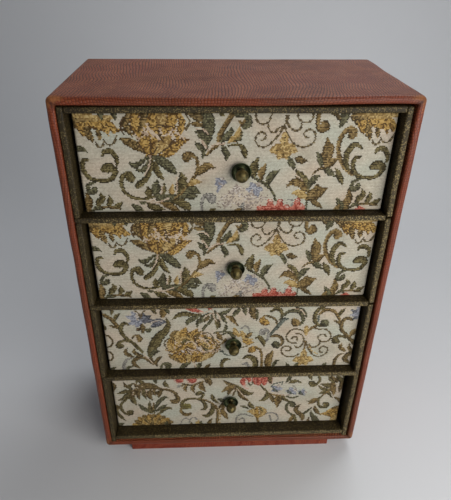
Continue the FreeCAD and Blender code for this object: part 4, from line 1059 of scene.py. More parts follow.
def thirdCut(w):      # bottom drawer
    # fern at the left
    for yarn, widths, points in (
            ("olive", (2, 4, 0.8), ((-69.6, 48), (-73.6, 47), (-79, 45))),
            ("olive", (3, 5, 3.4, 1), ((-68.8, 45.8), (-72, 42.6), (-75, 40.2), (-79, 38.4))),
            ("brown", (0.8, 2.4, 3), ((-73.4, 56), (-72.6, 52.8), (-69.4, 50.2))),
            ("olive", (2.4, 3, 0.8), ((-69.4, 50), (-70.2, 52.4), (-67.4, 55))),
            ("brown", (1, 2.4, 1.2), ((-67, 54.8), (-65.4, 52.4), (-65.4, 50))),
            ("olive", (2.6, 4.2, 4, 0.8), ((-67.6, 46), (-69.2, 42), (-68.2, 37.4), (-66.8, 33.2))),
            ("brown", (2.6, 3.8, 0.9), ((-66.2, 48.4), (-68.2, 44.4), (-69.6, 40))),
            ("brown", (2.6, 3.8, 0.8), ((-64, 48), (-64.8, 43.8), (-63.8, 39.4))),
            ("olive", (3, 3.8, 0.8), ((-61, 49), (-60.8, 44.2), (-59.4, 39.2))),
            ("brown", (2.2, 4.4, 3.4, 0.9), ((-55.6, 48), (-57, 44.6), (-56.8, 41.2), (-55.2, 38))),
            ("brown", (1.8, 2.8, 1), ((-52.8, 49), (-53.8, 45.8), (-52.8, 42.6))),
            ("brown", (1.6, 4.2, 0.9), ((-47.6, 48.2), (-50.2, 44.8), (-50.4, 40.4))),
            ("olive", (2.4, 3.4, 1), ((-63, 58), (-60.6, 55), (-57.6, 53.4))),
            ("brown", (2.4, 5.2, 4.4, 1.2), ((-64, 52), (-59.6, 52.6), (-54.6, 52.4), (-49.8, 50.2))),
            ("olive", (2.6, 2, 0.8), ((-64.2, 59), (-64.6, 56.4), (-65.2, 54)))):
        w.sew(yarn, widths, *points, saw=0.15)
    w.sew("brown", (2, 2.6, 2.2, 2, 2.2, 2.6, 3, 3.4, 5, 5, 3), (-69, 47), (-62, 49.6), (-54, 50),
          (-48, 48.8), (-43.4, 47.6), (-39.8, 45.2), (-37.9, 41.6), (-37.2, 38), (-39, 36.2), (-40.4, 36.2),
          (-41.6, 36.8))
    for points in (((-68, 47), (-68.4, 43)), ((-65.6, 47.4), (-66.2, 42)), ((-62.4, 48), (-62.6, 43)),
                   ((-58.4, 48.6), (-59, 43)), ((-54.6, 48), (-55, 42.6)), ((-66, 51), (-61, 51.4))):
        w.sew("vein", (0.9, 0.7), *points, fill=0.5)
    w.sew("moss", (3, 2.6, 0.8), (-52.4, 59), (-52, 56.6), (-51.4, 54.4))
    w.sew("olive", (1, 3.4, 3, 0.8), (-43, 50.6), (-45, 52.4), (-45.8, 54.4), (-45, 57), lean=-0.4)
    w.sew("olive", (1.2, 1.8, 2, 2.2, 2.4, 2.4, 3, 5, 5.4, 3.6), (-70.6, 42.4), (-74, 38.4), (-76.8, 35.4),
          (-77.8, 31.6), (-77, 28), (-75.4, 25.2), (-73.6, 24.4), (-72.4, 25), (-71.8, 25.8), (-71, 26.8))
    w.sew("brown", (1.6, 4.4, 2), (-82, 34), (-80.4, 31.6), (-80.8, 28.6))
    w.sew("olive", (1.2, 2.6, 2.6, 0.8), (-80.6, 28), (-80, 24), (-78.2, 20.8), (-75.6, 17.6))
    w.sew("brown", (2, 3, 1), (-82, 56), (-80, 52.4), (-81.4, 47))
    w.sew("moss", (5, 4, 1), (-82, 12), (-79.6, 13.4), (-77.4, 14.6))
    # spiky plant over the fan flower
    w.sew("moss", (2.4, 4, 3.4, 1), (-57.6, 26), (-60.6, 28.4), (-63, 31), (-65.2, 34.4))
    w.sew("olive", (3.6, 3.4, 2.4, 0.8), (-56.8, 26), (-57.4, 30), (-57.4, 33.4), (-57, 37))
    w.sew("bronze", (1.6, 2.2, 0.8), (-55.2, 27), (-54.8, 31), (-54.4, 35))
    w.sew("moss", (1.2, 2, 3, 3.6, 3, 0.8), (-54.6, 25), (-53.6, 30), (-51.4, 35), (-48.8, 38.4),
          (-46.4, 40.4), (-44, 39.6))
    w.sew("moss", (1.2, 3.4, 3, 0.8), (-53, 26.2), (-50.6, 28.8), (-47.8, 31.4), (-45.2, 33))
    w.sew("olive", (1.6, 2.8, 3, 2.4, 0.8), (-52.6, 23), (-49.2, 26.2), (-46.2, 29), (-43.8, 29.8),
          (-41.8, 28))
    # fan flower
    rays = ((164, 15.8), (148, 15.6), (132, 15.8), (116, 15.4), (101, 15), (86, 14.8), (71, 14.8), (56, 15.2),
            (40, 15.4), (24, 15.6))
    for k, (angle, reach) in enumerate(rays):
        x, z = math.cos(math.radians(angle)), math.sin(math.radians(angle))
        path = [(-56 + r * x, 9 + r * z) for r in (3, 7, 0.72 * reach, 0.9 * reach, reach)]
        w.petal(("ochre", "bronze")[k % 2], (1.4, 3.4, 4.8, 3.6, 0.9), *path)
        w.sew("gilt", (0.9, 0.9), (-56 + 5 * x, 9 + 5 * z), (-56 + 11 * x, 9 + 11 * z), fill=0.85)
    w.sew("brown", (1.6, 2.8, 1), (-58, 11), (-57, 13.4), (-56, 15.4))
    w.sew("moss", (3, 3.2, 0.8), (-46.4, 10), (-46.8, 12.8), (-46.4, 15.4))
    # cut red flowers and their fringe
    for x, size in ((-35.6, 2.6), (-26.8, 3)):
        w.sew("blush", (2 * size + 1.2, 2 * size + 1), (x - 0.6, 57.2), (x - 0.2, 57), fill=0.8)
        w.sew("red", (2 * size, 2 * size), (x, 57.4), (x + 0.2, 57.2), rough=1.2)
    w.sew("brown", (1.3, 1.6, 1.6, 1.6, 1.8, 1.8, 1.3), (-37, 51), (-34.2, 51.4), (-32.8, 53.4),
          (-30.6, 52.4), (-25.6, 52), (-22.2, 54), (-19.2, 55.4))
    w.sew("bronze", (1.4, 2.8, 2.6, 0.8), (-30.4, 52), (-31.8, 49.8), (-32, 47.8), (-31, 45.6), lean=-0.4)
    w.sew("bronze", (1.6, 3.2, 3, 0.8), (-25.4, 52), (-26.8, 49.4), (-26.8, 47.6), (-25.6, 44.8), lean=-0.4)
    w.sew("bronze", (1.6, 4.2, 3.8, 0.8), (-19.8, 54.4), (-20.8, 51), (-19.8, 48.2), (-18, 45.4), lean=-0.4)
    w.sew("grey", (2.4, 2.4), (-36.4, 51), (-36, 51.2))
    w.sew("brown", (4.2, 4.6, 3.4, 0.8), (-17.4, 59), (-15.6, 55.4), (-14.6, 53.2), (-14.4, 50.8))
    # ring scroll
    w.sew("bronze", (0.8, 3.2, 3.4, 2.6, 1.6), (-28.2, 24.2), (-30.6, 22.2), (-33.6, 22.9), (-35.4, 25.6),
          (-35.6, 29))
    w.sew("olive", (2.2, 2.8, 3, 2.8, 2.2, 1.8, 1.8, 2.4, 3, 3.2, 2.8, 0.8), (-31.4, 28.6), (-34, 29.4),
          (-34.8, 32.6), (-33.6, 36), (-30.6, 38.2), (-27, 38.5), (-23.4, 37.9), (-20.4, 36.2), (-18.6, 33),
          (-18, 30), (-18.8, 27.6), (-21.6, 26.4))
    w.sew("ochreGreen", (4.4, 6, 5.2, 2.6), (-32, 31.8), (-30.9, 31), (-30.2, 30.4), (-29.2, 29.4))
    w.sew("olive", (3.6, 4.2, 2.6, 2.4, 2, 1), (-23.4, 43.2), (-22, 44), (-19.9, 43), (-19.7, 41),
          (-21.2, 39.2), (-23.2, 38.4))
    w.sew("bronze", (1, 1.6, 1.8, 2, 2, 2, 2.2, 2.2, 2.2), (-21.6, 38), (-18.6, 37), (-15, 34.6),
          (-12.2, 31.8), (-10.2, 28.6), (-9.3, 24.6), (-9.3, 20.4), (-9.6, 15.4), (-10, 10))
    w.sew("gilt", (0.9, 1.3, 1.2), (-8.2, 27), (-7.4, 20), (-8, 12), fill=0.85)
    w.sew("olive", (1.2, 3.8, 4.2, 3.2, 0.8), (-13.6, 32.4), (-12.9, 27.4), (-14.6, 23), (-17.4, 20.2),
          (-20.8, 21.4))
    w.sew("olive", (1, 3.2, 2.8, 2, 0.8), (-13.6, 42.2), (-13, 39), (-11.4, 36.4), (-9.8, 34.4), (-8.4, 32.8),
          rough=1.1)
    w.sew("moss", (1, 3.4, 3), (-9.6, 37.4), (-6.8, 36.4), (-4.4, 34))
    w.sew("brown", (2.4, 3.4, 0.9), (-5, 33.6), (-6.6, 30.4), (-8.8, 27.6))
    w.sew("bronze", (1.8, 3.4, 4.4, 3, 0.8), (-4.8, 30), (-5.9, 25.6), (-4.4, 21.4), (-3.2, 18.8),
          (-2.2, 16.4))
    w.sew("brown", (0.9, 3.2, 3.2), (-13.4, 17.4), (-15.2, 13.6), (-16.2, 10))
    w.sew("gilt", (3.2, 3.4, 0.8), (-24.2, 10), (-23.8, 13), (-23.2, 16), lean=0.4)
    w.sew("moss", (2.4, 2.4, 0.8), (-22.4, 10), (-21.6, 12.4), (-21.4, 14.6))
    w.sew("brown", (2.8, 2.4, 0.8), (-29.2, 10), (-28.6, 12.2), (-28.8, 14))
    w.line((-36.4, 12), (-35, 16.4), (-32, 18.4), (-30.6, 16.6), yarn="grey")
    w.line((-30, 13.4), (-29, 17.6), (-26, 18.9), (-24.6, 17), yarn="grey")
    # plant over the knob
    w.sew("brown", (1.6, 3.4, 3.2, 0.8), (3.2, 50.4), (0, 51.6), (-2.6, 53.2), (-5.2, 55.6))
    w.sew("bronze", (2, 5, 5, 3, 0.8), (3.2, 49.8), (0.6, 48.6), (-2, 47.8), (-4.2, 46.6), (-6.4, 44.6),
          lean=-0.5)
    w.sew("brown", (1.6, 2.6, 0.8), (1, 47.6), (-1.4, 44.4), (-2, 41.2))
    w.sew("vein", (1, 1, 0.8), (3.2, 49.6), (1.6, 45), (-0.6, 42))
    w.sew("brown", (1.6, 1.5, 1.4), (3.8, 50.4), (2.8, 45), (1.2, 41))
    w.sew("olive", (1.6, 3.6, 4.4, 4, 0.8), (4.4, 50), (7, 46.6), (9.8, 43.8), (12.4, 42), (15.6, 43),
          saw=0.2)
    w.sew("brown", (1.4, 3.6, 4, 3, 0.8), (4.6, 46.6), (6.4, 42), (8.6, 38.8), (10.4, 36.8), (12.6, 34.8))
    w.sew("vein", (0.9, 0.9, 0.8), (5.2, 46.4), (7.6, 42.2), (11, 38))
    for yarn, widths, points in (
            ("red", (3, 3.8, 1.8), ((8.8, 57.6), (7.9, 54), (8.8, 50.8))),
            ("red", (3.2, 3, 1.4), ((11, 58.6), (12.4, 56), (12.4, 53.6))),
            ("red", (3, 3.4, 1.4), ((16, 58.6), (16.2, 54), (17.8, 51.2))),
            ("red", (4.2, 4.6, 1.8), ((19.8, 58.6), (19.4, 53.6), (19.2, 50.8))),
            ("red", (4.4, 4.6, 2.2), ((23.4, 58.6), (22.8, 54), (23.2, 51.2))),
            ("brown", (3.4, 3.2, 1), ((26.6, 58), (26.8, 54.6), (27.8, 52)))):
        w.sew("blush", [v + 1 for v in widths], *points, fill=0.45)
        w.sew(yarn, widths, *points, rough=1.2)
    w.line((12, 53), (13.2, 50.8), (14.6, 51.6), (15, 53.6), yarn="moss", dash=0)
    w.line((8.6, 50), (10, 48), (11.6, 47.4), width=1.6, yarn="blush", dash=0)
    w.sew("olive", (1.2, 1.6, 1.8, 3.6, 4.4, 3.4, 0.8), (20.6, 50.6), (23, 46.8), (25.2, 43.8), (25.6, 40.6),
          (24.6, 37.6), (23, 35.8), (20.2, 34.6))
    w.sew("vein", (0.9, 0.9, 0.8), (27.6, 42), (33, 40.8), (40, 39.8))
    w.sew("bronze", (1.4, 1.7, 1.5, 1), (27, 42), (31.6, 40), (36, 39), (39, 38.4))
    w.sew("brown", (1.4, 3.4, 3.2, 0.8), (27.6, 41.2), (28.8, 38.2), (29.8, 35.6), (30, 32.4), lean=-0.4)
    w.sew("bronze", (1.8, 4.6, 4.2, 0.8), (33.2, 39.6), (32.8, 35.4), (33.4, 31.8), (33.4, 27.6), lean=-0.4)
    w.sew("brown", (1.6, 2.4, 0.9), (35, 39), (35.6, 35.6), (35.6, 32.2))
    w.sew("olive", (1.2, 3, 2.6, 0.8), (36, 39), (38, 36.2), (40, 34.4), (42.2, 33.6))
    w.sew("moss", (0.8, 2.6, 0.8), (7.2, 29.8), (10, 28.8), (13, 26.8))
    w.sew("olive", (0.8, 3.8, 3.6, 1), (13.2, 33.8), (14, 30.8), (15.2, 28.8), (17, 26.6))
    # drop flower and its line scrolls
    w.petal("gilt", (2, 4.4, 3.6, 1), (13, 23.8), (15.8, 24), (17.4, 21.4), (18.6, 18.6))
    w.petal("gilt", (2, 5.2, 5.2, 1.6), (21, 27.8), (23.2, 24.8), (23.6, 21.6), (21, 17.6))
    w.petal("ochre", (1.6, 3.4, 3.6, 2.4, 1.6), (18.8, 28.4), (18.8, 24.8), (19, 21), (19.6, 17.4), (20, 14))
    w.sew("olive", (0.9, 1.8, 1), (20, 28.6), (22, 26), (23.2, 23.4))
    w.sew("bronze", (1.2, 2.2, 1.6), (19.8, 16), (20.4, 13), (20.6, 10))
    for points in (((4.2, 12), (4.6, 18), (7.2, 21), (10.4, 21.2), (13.2, 19.6), (16.4, 18.4)),
                   ((6.8, 15.4), (8.4, 17), (10.2, 15.6), (10.2, 12)), ((28.6, 19), (29.4, 15), (30.4, 12)),
                   ((26, 21.2), (29, 21.9), (32.4, 20.8), (34.6, 17.6), (34.6, 14), (32.4, 11.6))):
        w.line(*points, yarn="grey", width=1.3)
    # blue flowers
    for x, z, size, turn in ((32.2, 46.4, 4.2, 70), (42.8, 43.6, 4.2, 30), (50.6, 42.2, 3.4, 10)):
        smallFlower(w, x, z, size, 5, turn)
        w.sew("slate", (1.4, 2.4, 1), (x - 0.6 * size, z + 1), (x - 0.4 * size, z - 1),
              (x + 0.2 * size, z - 0.6 * size))
    w.line((28, 48.4), (29.8, 51.2), (34.6, 52.8), yarn="slate")
    w.line((35.8, 54), (35.4, 50.2), width=0.9, yarn="slate", dash=0)
    w.line((43, 49.4), (44.6, 48), (46.4, 45.6), width=0.9, yarn="grey", dash=0)
    w.line((40, 38.6), (43.4, 37), (47.6, 38.2), width=1.6, yarn="moss", dash=0)
    w.sew("moss", (1.6, 3.2, 0.8), (41.6, 59), (40, 55.6), (38.2, 52.4))
    w.sew("olive", (0.8, 3.6, 3, 1.8, 0.8), (40.2, 51.6), (42.6, 52.8), (44.6, 53.6), (46.8, 53.2),
          (49, 51.4))
    # curls and crossing leaves at the right
    w.sew("olive", (2, 2, 2.2, 3.2, 5.4, 5.4, 3.6), (60, 60), (61.6, 55), (60.8, 51.2), (58.8, 49.6),
          (57.2, 50), (56.6, 50.8), (55.6, 51.6))
    w.sew("olive", (3, 2.6, 0.8), (53.6, 59.6), (54.8, 57), (56, 54.6))
    w.sew("moss", (3.2, 4.8, 3.8, 2.2, 2.2, 2.4, 2.2, 2, 1.6), (45, 28.4), (44.6, 29.8), (43.6, 31.6),
          (41.4, 31.2), (40.3, 28.8), (40.4, 25.6), (41.6, 22.6), (44, 20), (46.2, 16.6))
    w.sew("bronze", (1.6, 3.2, 3), (46, 19), (44.8, 15), (43.4, 10), lean=-0.3)
    w.sew("olive", (1.6, 2.4, 2.6), (46.6, 19), (47.6, 15), (49, 10))
    w.sew("brown", (0.8, 2.8, 3.8, 4, 4.4, 4.2, 1.6), (50.2, 29.8), (48, 27.2), (47.2, 24.4), (49, 21.6),
          (51.4, 19), (52.8, 16.4), (53.2, 13))
    w.sew("moss", (0.8, 2.2, 2.6), (58.8, 26.6), (56.4, 23.2), (53.8, 20.4))
    w.sew("brown", (0.8, 3, 3.8, 0.8), (60.8, 28.4), (61.4, 24.6), (63, 21.6), (65.8, 18.4))
    w.sew("moss", (1, 3.4, 5, 4.6), (58.6, 23), (59.8, 18.2), (62, 14.8), (64.6, 10))
    w.sew("brown", (2.6, 2.2, 0.8), (57.8, 10), (57.4, 13), (57.8, 16))
    w.sew("bronze", (1.4, 4.6, 4.4, 1), (61.6, 35.8), (60, 34.2), (58.6, 32.4), (56.4, 30.4), saw=0.25,
          lean=-0.4)
    w.sew("olive", (0.8, 1.8, 1), (54.8, 33.4), (57, 33), (59, 33.4))
    w.sew("olive", (1.6, 2, 2, 2.2, 2.4, 4, 5.2, 4.4, 3), (65, 38.2), (63.2, 35.4), (62.8, 32), (64, 28.4),
          (66, 26.4), (68.2, 26.8), (69, 28.4), (68.6, 29.8), (67.6, 30.2))
    for yarn, widths, points in (
            ("olive", (0.8, 3, 3), ((61.6, 48.2), (64, 45.8), (66.6, 44.4))),
            ("olive", (0.8, 4.6, 3), ((62.8, 40.8), (66.4, 42), (70, 44.4))),
            ("olive", (1.4, 4.8, 3), ((63.6, 49.8), (68, 48.6), (72, 46.4))),
            ("bronze", (3.4, 4.4, 3.4, 0.8), ((71.4, 50), (72, 46), (72.8, 42), (73.2, 38.6))),
            ("olive", (2, 2.6, 0.8), ((67.6, 45), (69.8, 40.4), (72.6, 36))),
            ("olive", (0.8, 2, 2), ((67.2, 58), (68.8, 54.4), (71.2, 52))),
            ("brown", (2.4, 3.2, 2), ((70, 56.6), (72, 54.4), (74, 52))),
            ("olive", (1.6, 4, 3.4), ((73, 58.6), (76, 54.6), (78.6, 51))),
            ("moss", (2, 3.2, 2), ((77.2, 59), (79.6, 55), (81.4, 51))),
            ("brown", (3, 3.6, 0.8), ((77.6, 51), (77.2, 46.6), (76.8, 41.6)))):
        w.sew(yarn, widths, *points, saw=0.15)
    w.sew("bronze", (1.2, 1.2, 0.8), (65.2, 38.4), (69, 43), (73.4, 49))
    w.sew("brown", (0.8, 3.2, 4), (74.2, 36.8), (77.6, 33.8), (81.4, 28.6))
    w.petal("ochre", (0.9, 4.4, 6.4, 5), (65.8, 19.2), (70.4, 19.4), (74.6, 18.6), (79, 14))
    w.petal("ochre", (3, 6, 6), (71.4, 21.6), (76, 23.2), (82, 22))
    w.petal("bronze", (1.4, 4, 4), (74, 25.4), (78, 26), (82, 25))
    w.petal("gilt", (4, 6, 6), (74.6, 10), (77, 13.6), (81, 17))


# drawer fronts in tapestry

cloth = {"stitchWide": 0.8, "stitchHigh": 0.66, "thick": 0.34, "turnIn": 7.0, "turnSteps": (1.6, 3.4),
         "edge": 1.25, "relief": 0.13, "unevenness": 0.35}


def stitchTree():      # lifts each stitch into a small pillow
    tree = bpy.data.node_groups.new("stitchRelief", "GeometryNodeTree")
    face = tree.interface
    face.new_socket("Geometry", in_out="INPUT", socket_type="NodeSocketGeometry")
    for name, kind in (("Relief", "Float"), ("Unevenness", "Float"), ("Cloth", "Material")):
        face.new_socket(name, in_out="INPUT", socket_type="NodeSocket" + kind)
    face.new_socket("Geometry", in_out="OUTPUT", socket_type="NodeSocketGeometry")
    given = tree.nodes.new("NodeGroupInput")
    geometry, relief, unevenness, finish = (Wire(tree, given.outputs[k]) for k in range(4))
    weave = addNode(tree, "GeometryNodeInputNamedAttribute", {"data_type": "FLOAT_VECTOR"}, {"Name": "weave"})
    parts = tree.nodes.new("ShaderNodeSeparateXYZ")
    tree.links.new(weave.socket, parts.inputs[0])
    across, up, strength = (Wire(tree, parts.outputs[k]) for k in range(3))
    row = up.floor()
    shifted = across + (row * 0.5).fraction()
    pillow = (shifted.fraction() * math.pi).sine() * (up.fraction() * math.pi).sine()
    each = shifted.floor() + row * 977      # a number of its own for every stitch
    lift = addNode(tree, "FunctionNodeRandomValue", {"data_type": "FLOAT"},
                   {2: 1 - unevenness, 3: 1 + unevenness, "ID": each, "Seed": 7}, output=1)
    push = addNode(tree, "ShaderNodeVectorMath", {"operation": "SCALE"},
                   {0: addNode(tree, "GeometryNodeInputNormal"), "Scale": pillow * relief * lift * strength})
    raised = addNode(tree, "GeometryNodeSetPosition", None, {"Geometry": geometry, "Offset": push})
    real = addNode(tree, "GeometryNodeRealizeInstances", None, {"Geometry": raised})
    done = addNode(tree, "GeometryNodeSetMaterial", None, {"Geometry": real, "Material": finish})
    tree.links.new(done.socket, tree.nodes.new("NodeGroupOutput").inputs[0])
    return tree


def setInput(modifier, name, value):
    for item in modifier.node_group.interface.items_tree:
        if item.in_out == "INPUT" and item.name == name:
            modifier[item.identifier] = value


def settle(piece):      # turns the live modifier into a plain mesh
    bpy.context.view_layer.update()
    seen = piece.evaluated_get(bpy.context.evaluated_depsgraph_get())
    mesh = bpy.data.meshes.new_from_object(seen)
    piece.modifiers.clear()
    piece.data = mesh


def wrapRings(side):      # how far outside the face each ring of the wrapped edge lies, along the cloth
    edge = cloth["edge"]
    quarter = edge * math.pi / 2
    rings = np.array([edge * a for a in arcSteps(4)[1:]] + [quarter + side]
                     + [quarter + side + edge * a for a in arcSteps(3)[1:]])
    return np.concatenate((rings, rings[-1] + np.array((*cloth["turnSteps"], cloth["turnIn"] - edge))))


def wrapTicks(face, cell, wrap):      # even stitches on the face, coarser cells round the edge
    count = int(round((face[1] - face[0]) / cell / 2)) * 2
    return np.concatenate((face[0] - wrap[::-1], np.linspace(*face, count + 1), face[1] + wrap)), count


def foldRound(grid, spans, front, side, gap):      # the wrapped surface, gap mm inside the outer one
    edge = cloth["edge"]
    baseU, baseV = (np.clip(line, *span) for line, span in zip(grid, spans))
    beyondU, beyondV = grid[0] - baseU, grid[1] - baseV
    run = np.maximum(np.abs(beyondU), np.abs(beyondV))
    quarter = edge * math.pi / 2
    first = np.clip(run / edge, 0, math.pi / 2)
    second = np.clip((run - quarter - side) / edge, 0, math.pi / 2)
    strip = np.maximum(run - 2 * quarter - side, 0)
    r = edge - gap
    out = r * np.sin(first) - r * (1 - np.cos(second)) - strip
    deep = edge - r * np.cos(first) + np.clip(run - quarter, 0, side) + r * np.sin(second)
    turn = np.arctan2(np.abs(beyondV), np.abs(beyondU))      # square rings become round corners
    both = (np.abs(beyondU) > 0) & (np.abs(beyondV) > 0)
    directU = np.where(both, np.cos(turn), np.abs(beyondU) > 0) * np.sign(beyondU)
    directV = np.where(both, np.sin(turn), np.abs(beyondV) > 0) * np.sign(beyondV)
    inward = np.minimum(out, 0)      # on the back the corner is mitred
    mitreU = np.sign(beyondU) * (np.abs(beyondU) >= run - 1e-9) * inward
    mitreV = np.sign(beyondV) * (np.abs(beyondV) >= run - 1e-9) * inward
    outU = np.where(inward < 0, mitreU, directU * out)
    outV = np.where(inward < 0, mitreV, directV * out)
    return np.stack((baseU + outU, front + deep, baseV + outV), axis=-1), run


# joins the shown side to a hidden one, which has the same rings round the edge and one plain face inside
def clothShell(outer, inner, rim):
    nRows, nColumns = outer.shape[:2]
    points = list(outer.reshape(-1, 3))
    faces = [(r * nColumns + c, r * nColumns + c + 1, (r + 1) * nColumns + c + 1, (r + 1) * nColumns + c)
             for r in range(nRows - 1) for c in range(nColumns - 1)]
    hidden = {}
    for r in range(nRows):
        for c in range(nColumns):
            if min(r, nRows - 1 - r, c, nColumns - 1 - c) <= rim:
                hidden[r, c] = len(points)
                points.append(inner[r, c])
    for r in range(nRows - 1):
        for c in range(nColumns - 1):
            if min(r, nRows - 2 - r, c, nColumns - 2 - c) < rim:
                faces.append((hidden[r, c], hidden[r + 1, c], hidden[r + 1, c + 1], hidden[r, c + 1]))

    def ring(inset):      # the grid's points round a square ring
        top, end = nRows - 1 - inset, nColumns - 1 - inset
        going = [(inset, c) for c in range(inset, end)] + [(r, end) for r in range(inset, top)]
        return going + [(top, c) for c in range(end, inset, -1)] + [(r, inset) for r in range(top, inset, -1)]

    faces.append(tuple(hidden[k] for k in reversed(ring(rim))))
    border = ring(0)
    for (r0, c0), (r1, c1) in zip(border, border[1:] + border[:1]):
        faces.append((r1 * nColumns + c1, r0 * nColumns + c0, hidden[r0, c0], hidden[r1, c1]))
    return np.array(points), faces


def paintStitches(piece, stitches, rim, nRows, nColumns):      # each stitch's colour onto its cells
    cellRow, cellColumn = np.divmod(np.arange((nRows - 1) * (nColumns - 1)), nColumns - 1)
    stitchRow = (cellRow - rim) // 2
    stitchColumn = (cellColumn - rim + stitchRow % 2) // 2
    shade = stitches.at(stitchRow, stitchColumn)
    colours = np.ones((len(piece.data.loops), 4))
    colours[:, :3] = groundYarn
    colours[:4 * len(shade), :3] = np.repeat(shade, 4, axis=0)
    yarnLayer = piece.data.color_attributes.new("yarn", "FLOAT_COLOR", "CORNER")
    yarnLayer.data.foreach_set("color", colours.ravel())


def drawerCloth(number, draw, cut, tree):
    low, high = boxOf("drawer_%d_cloth" % number)
    edge, front = cloth["edge"], low[1]
    side = high[1] - front - 2 * edge
    wrap = wrapRings(side)
    rim = len(wrap)
    faceU, faceV = (low[0] + edge, high[0] - edge), (low[2] + edge, high[2] - edge)
    u, columns = wrapTicks(faceU, cloth["stitchWide"] / 2, wrap)
    v, rows = wrapTicks(faceV, cloth["stitchHigh"] / 2, wrap)
    grid = np.meshgrid(u, v)
    outer, run = foldRound(grid, (faceU, faceV), front, side, 0.0)
    inner = foldRound(grid, (faceU, faceV), front, side, cloth["thick"])[0]
    nRows, nColumns = run.shape
    points, faces = clothShell(outer, inner, rim)

    piece = meshPiece("drawer_%d_tapestry" % number, points * mm, faces, tapestryCloth)
    weave = np.zeros((len(points), 3))      # stitch across, stitch up, and whether it stands up
    weave[:run.size, 0] = np.tile((np.arange(nColumns) - rim) / 2, nRows)
    weave[:run.size, 1] = np.repeat((np.arange(nRows) - rim) / 2, nColumns)
    weave[:run.size, 2] = run.ravel() < edge * 1.2
    piece.data.attributes.new("weave", "FLOAT_VECTOR", "POINT").data.foreach_set("vector", weave.ravel())

    stitches = Tapestry(-rim // 2 - 1, (columns + rim) // 2 + 2, -rim // 2 - 1, (rows + rim) // 2 + 2, number)
    wide, tall = (faceU[1] - faceU[0]) / columns * 2, (faceV[1] - faceV[0]) / rows * 2
    stitches.place(faceU[0] - cut[0], faceV[0] - cut[1], wide, tall)
    draw(stitches)
    paintStitches(piece, stitches, rim, nRows, nColumns)

    live = piece.modifiers.new("stitches", "NODES")
    live.node_group = tree
    setInput(live, "Relief", cloth["relief"] * mm)
    setInput(live, "Unevenness", cloth["unevenness"])
    setInput(live, "Cloth", tapestryCloth)
    settle(piece)
    flat = tuple(float(high[k] - low[k] - 2 * edge + 2 * wrap[-1]) * mm for k in (0, 2))
    finishPiece(piece, "drawer_%d" % number, "tapestry", "drawer_%d_cloth" % number)
    return flat


weaveTree = stitchTree()
# the design on each drawer, and where its own zero lies from the middle of the foot
for number, draw, cut in ((1, firstCut, (0, 193.0)), (2, firstCut, (0, 134.5)), (3, secondCut, (0, 6.7)),
                          (4, thirdCut, (0, 6.2))):
    flat = drawerCloth(number, draw, cut, weaveTree)
    print("drawer", number, "cloth", [round(v / mm, 1) for v in flat], "mm flat")


# knobs in their dishes

brass = {"ball": 6.9, "neck": 2.8, "collar": 4.4, "collarHigh": 0.8, "dish": 10.6, "dishFlat": 6.0,
         "dishDeep": 2.2, "sheet": 0.5, "bow": 0.45, "pinHole": 0.95, "reach": 7.0, "around": 48,
         "dishDent": 0.07, "knobDent": 0.05}


def turning(name, outline, x, y, z, finish, seed, dent):      # outline: radius and height pairs
    count = brass["around"]
    angle = np.linspace(0, 2 * math.pi, count, endpoint=False)
    points, rows = [], []
    for radius, height in outline:
        if radius < 1e-6:
            rows.append([len(points)])
            points.append((x, y + height, z))
        else:
            rows.append(list(range(len(points), len(points) + count)))
            points += [(x + radius * math.cos(a), y + height, z + radius * math.sin(a)) for a in angle]
    faces = []
    for a, b in zip(rows, rows[1:]):
        for k in range(count):
            m = (k + 1) % count
            corners = [a[k % len(a)], a[m % len(a)], b[m % len(b)], b[k % len(b)]]
            faces.append(tuple(dict.fromkeys(corners)))
    if len(rows[0]) > 1:      # a ring shaped section closes on itself
        for k in range(count):
            m = (k + 1) % count
            faces.append((rows[-1][k], rows[-1][m], rows[0][m], rows[0][k]))
    points = np.array(points)
    points += (ripple(points, 6, seed) * dent)[:, None] * np.array((0.6, 0.5, 0.6))
    piece = meshPiece(name, points * mm, faces, finish)
    outward(piece)
    return piece


def arc(cx, cy, radius, start, end, count):
    angles = np.radians(np.linspace(start, end, count))
    return [(cx + radius * math.cos(a), cy + radius * math.sin(a)) for a in angles]


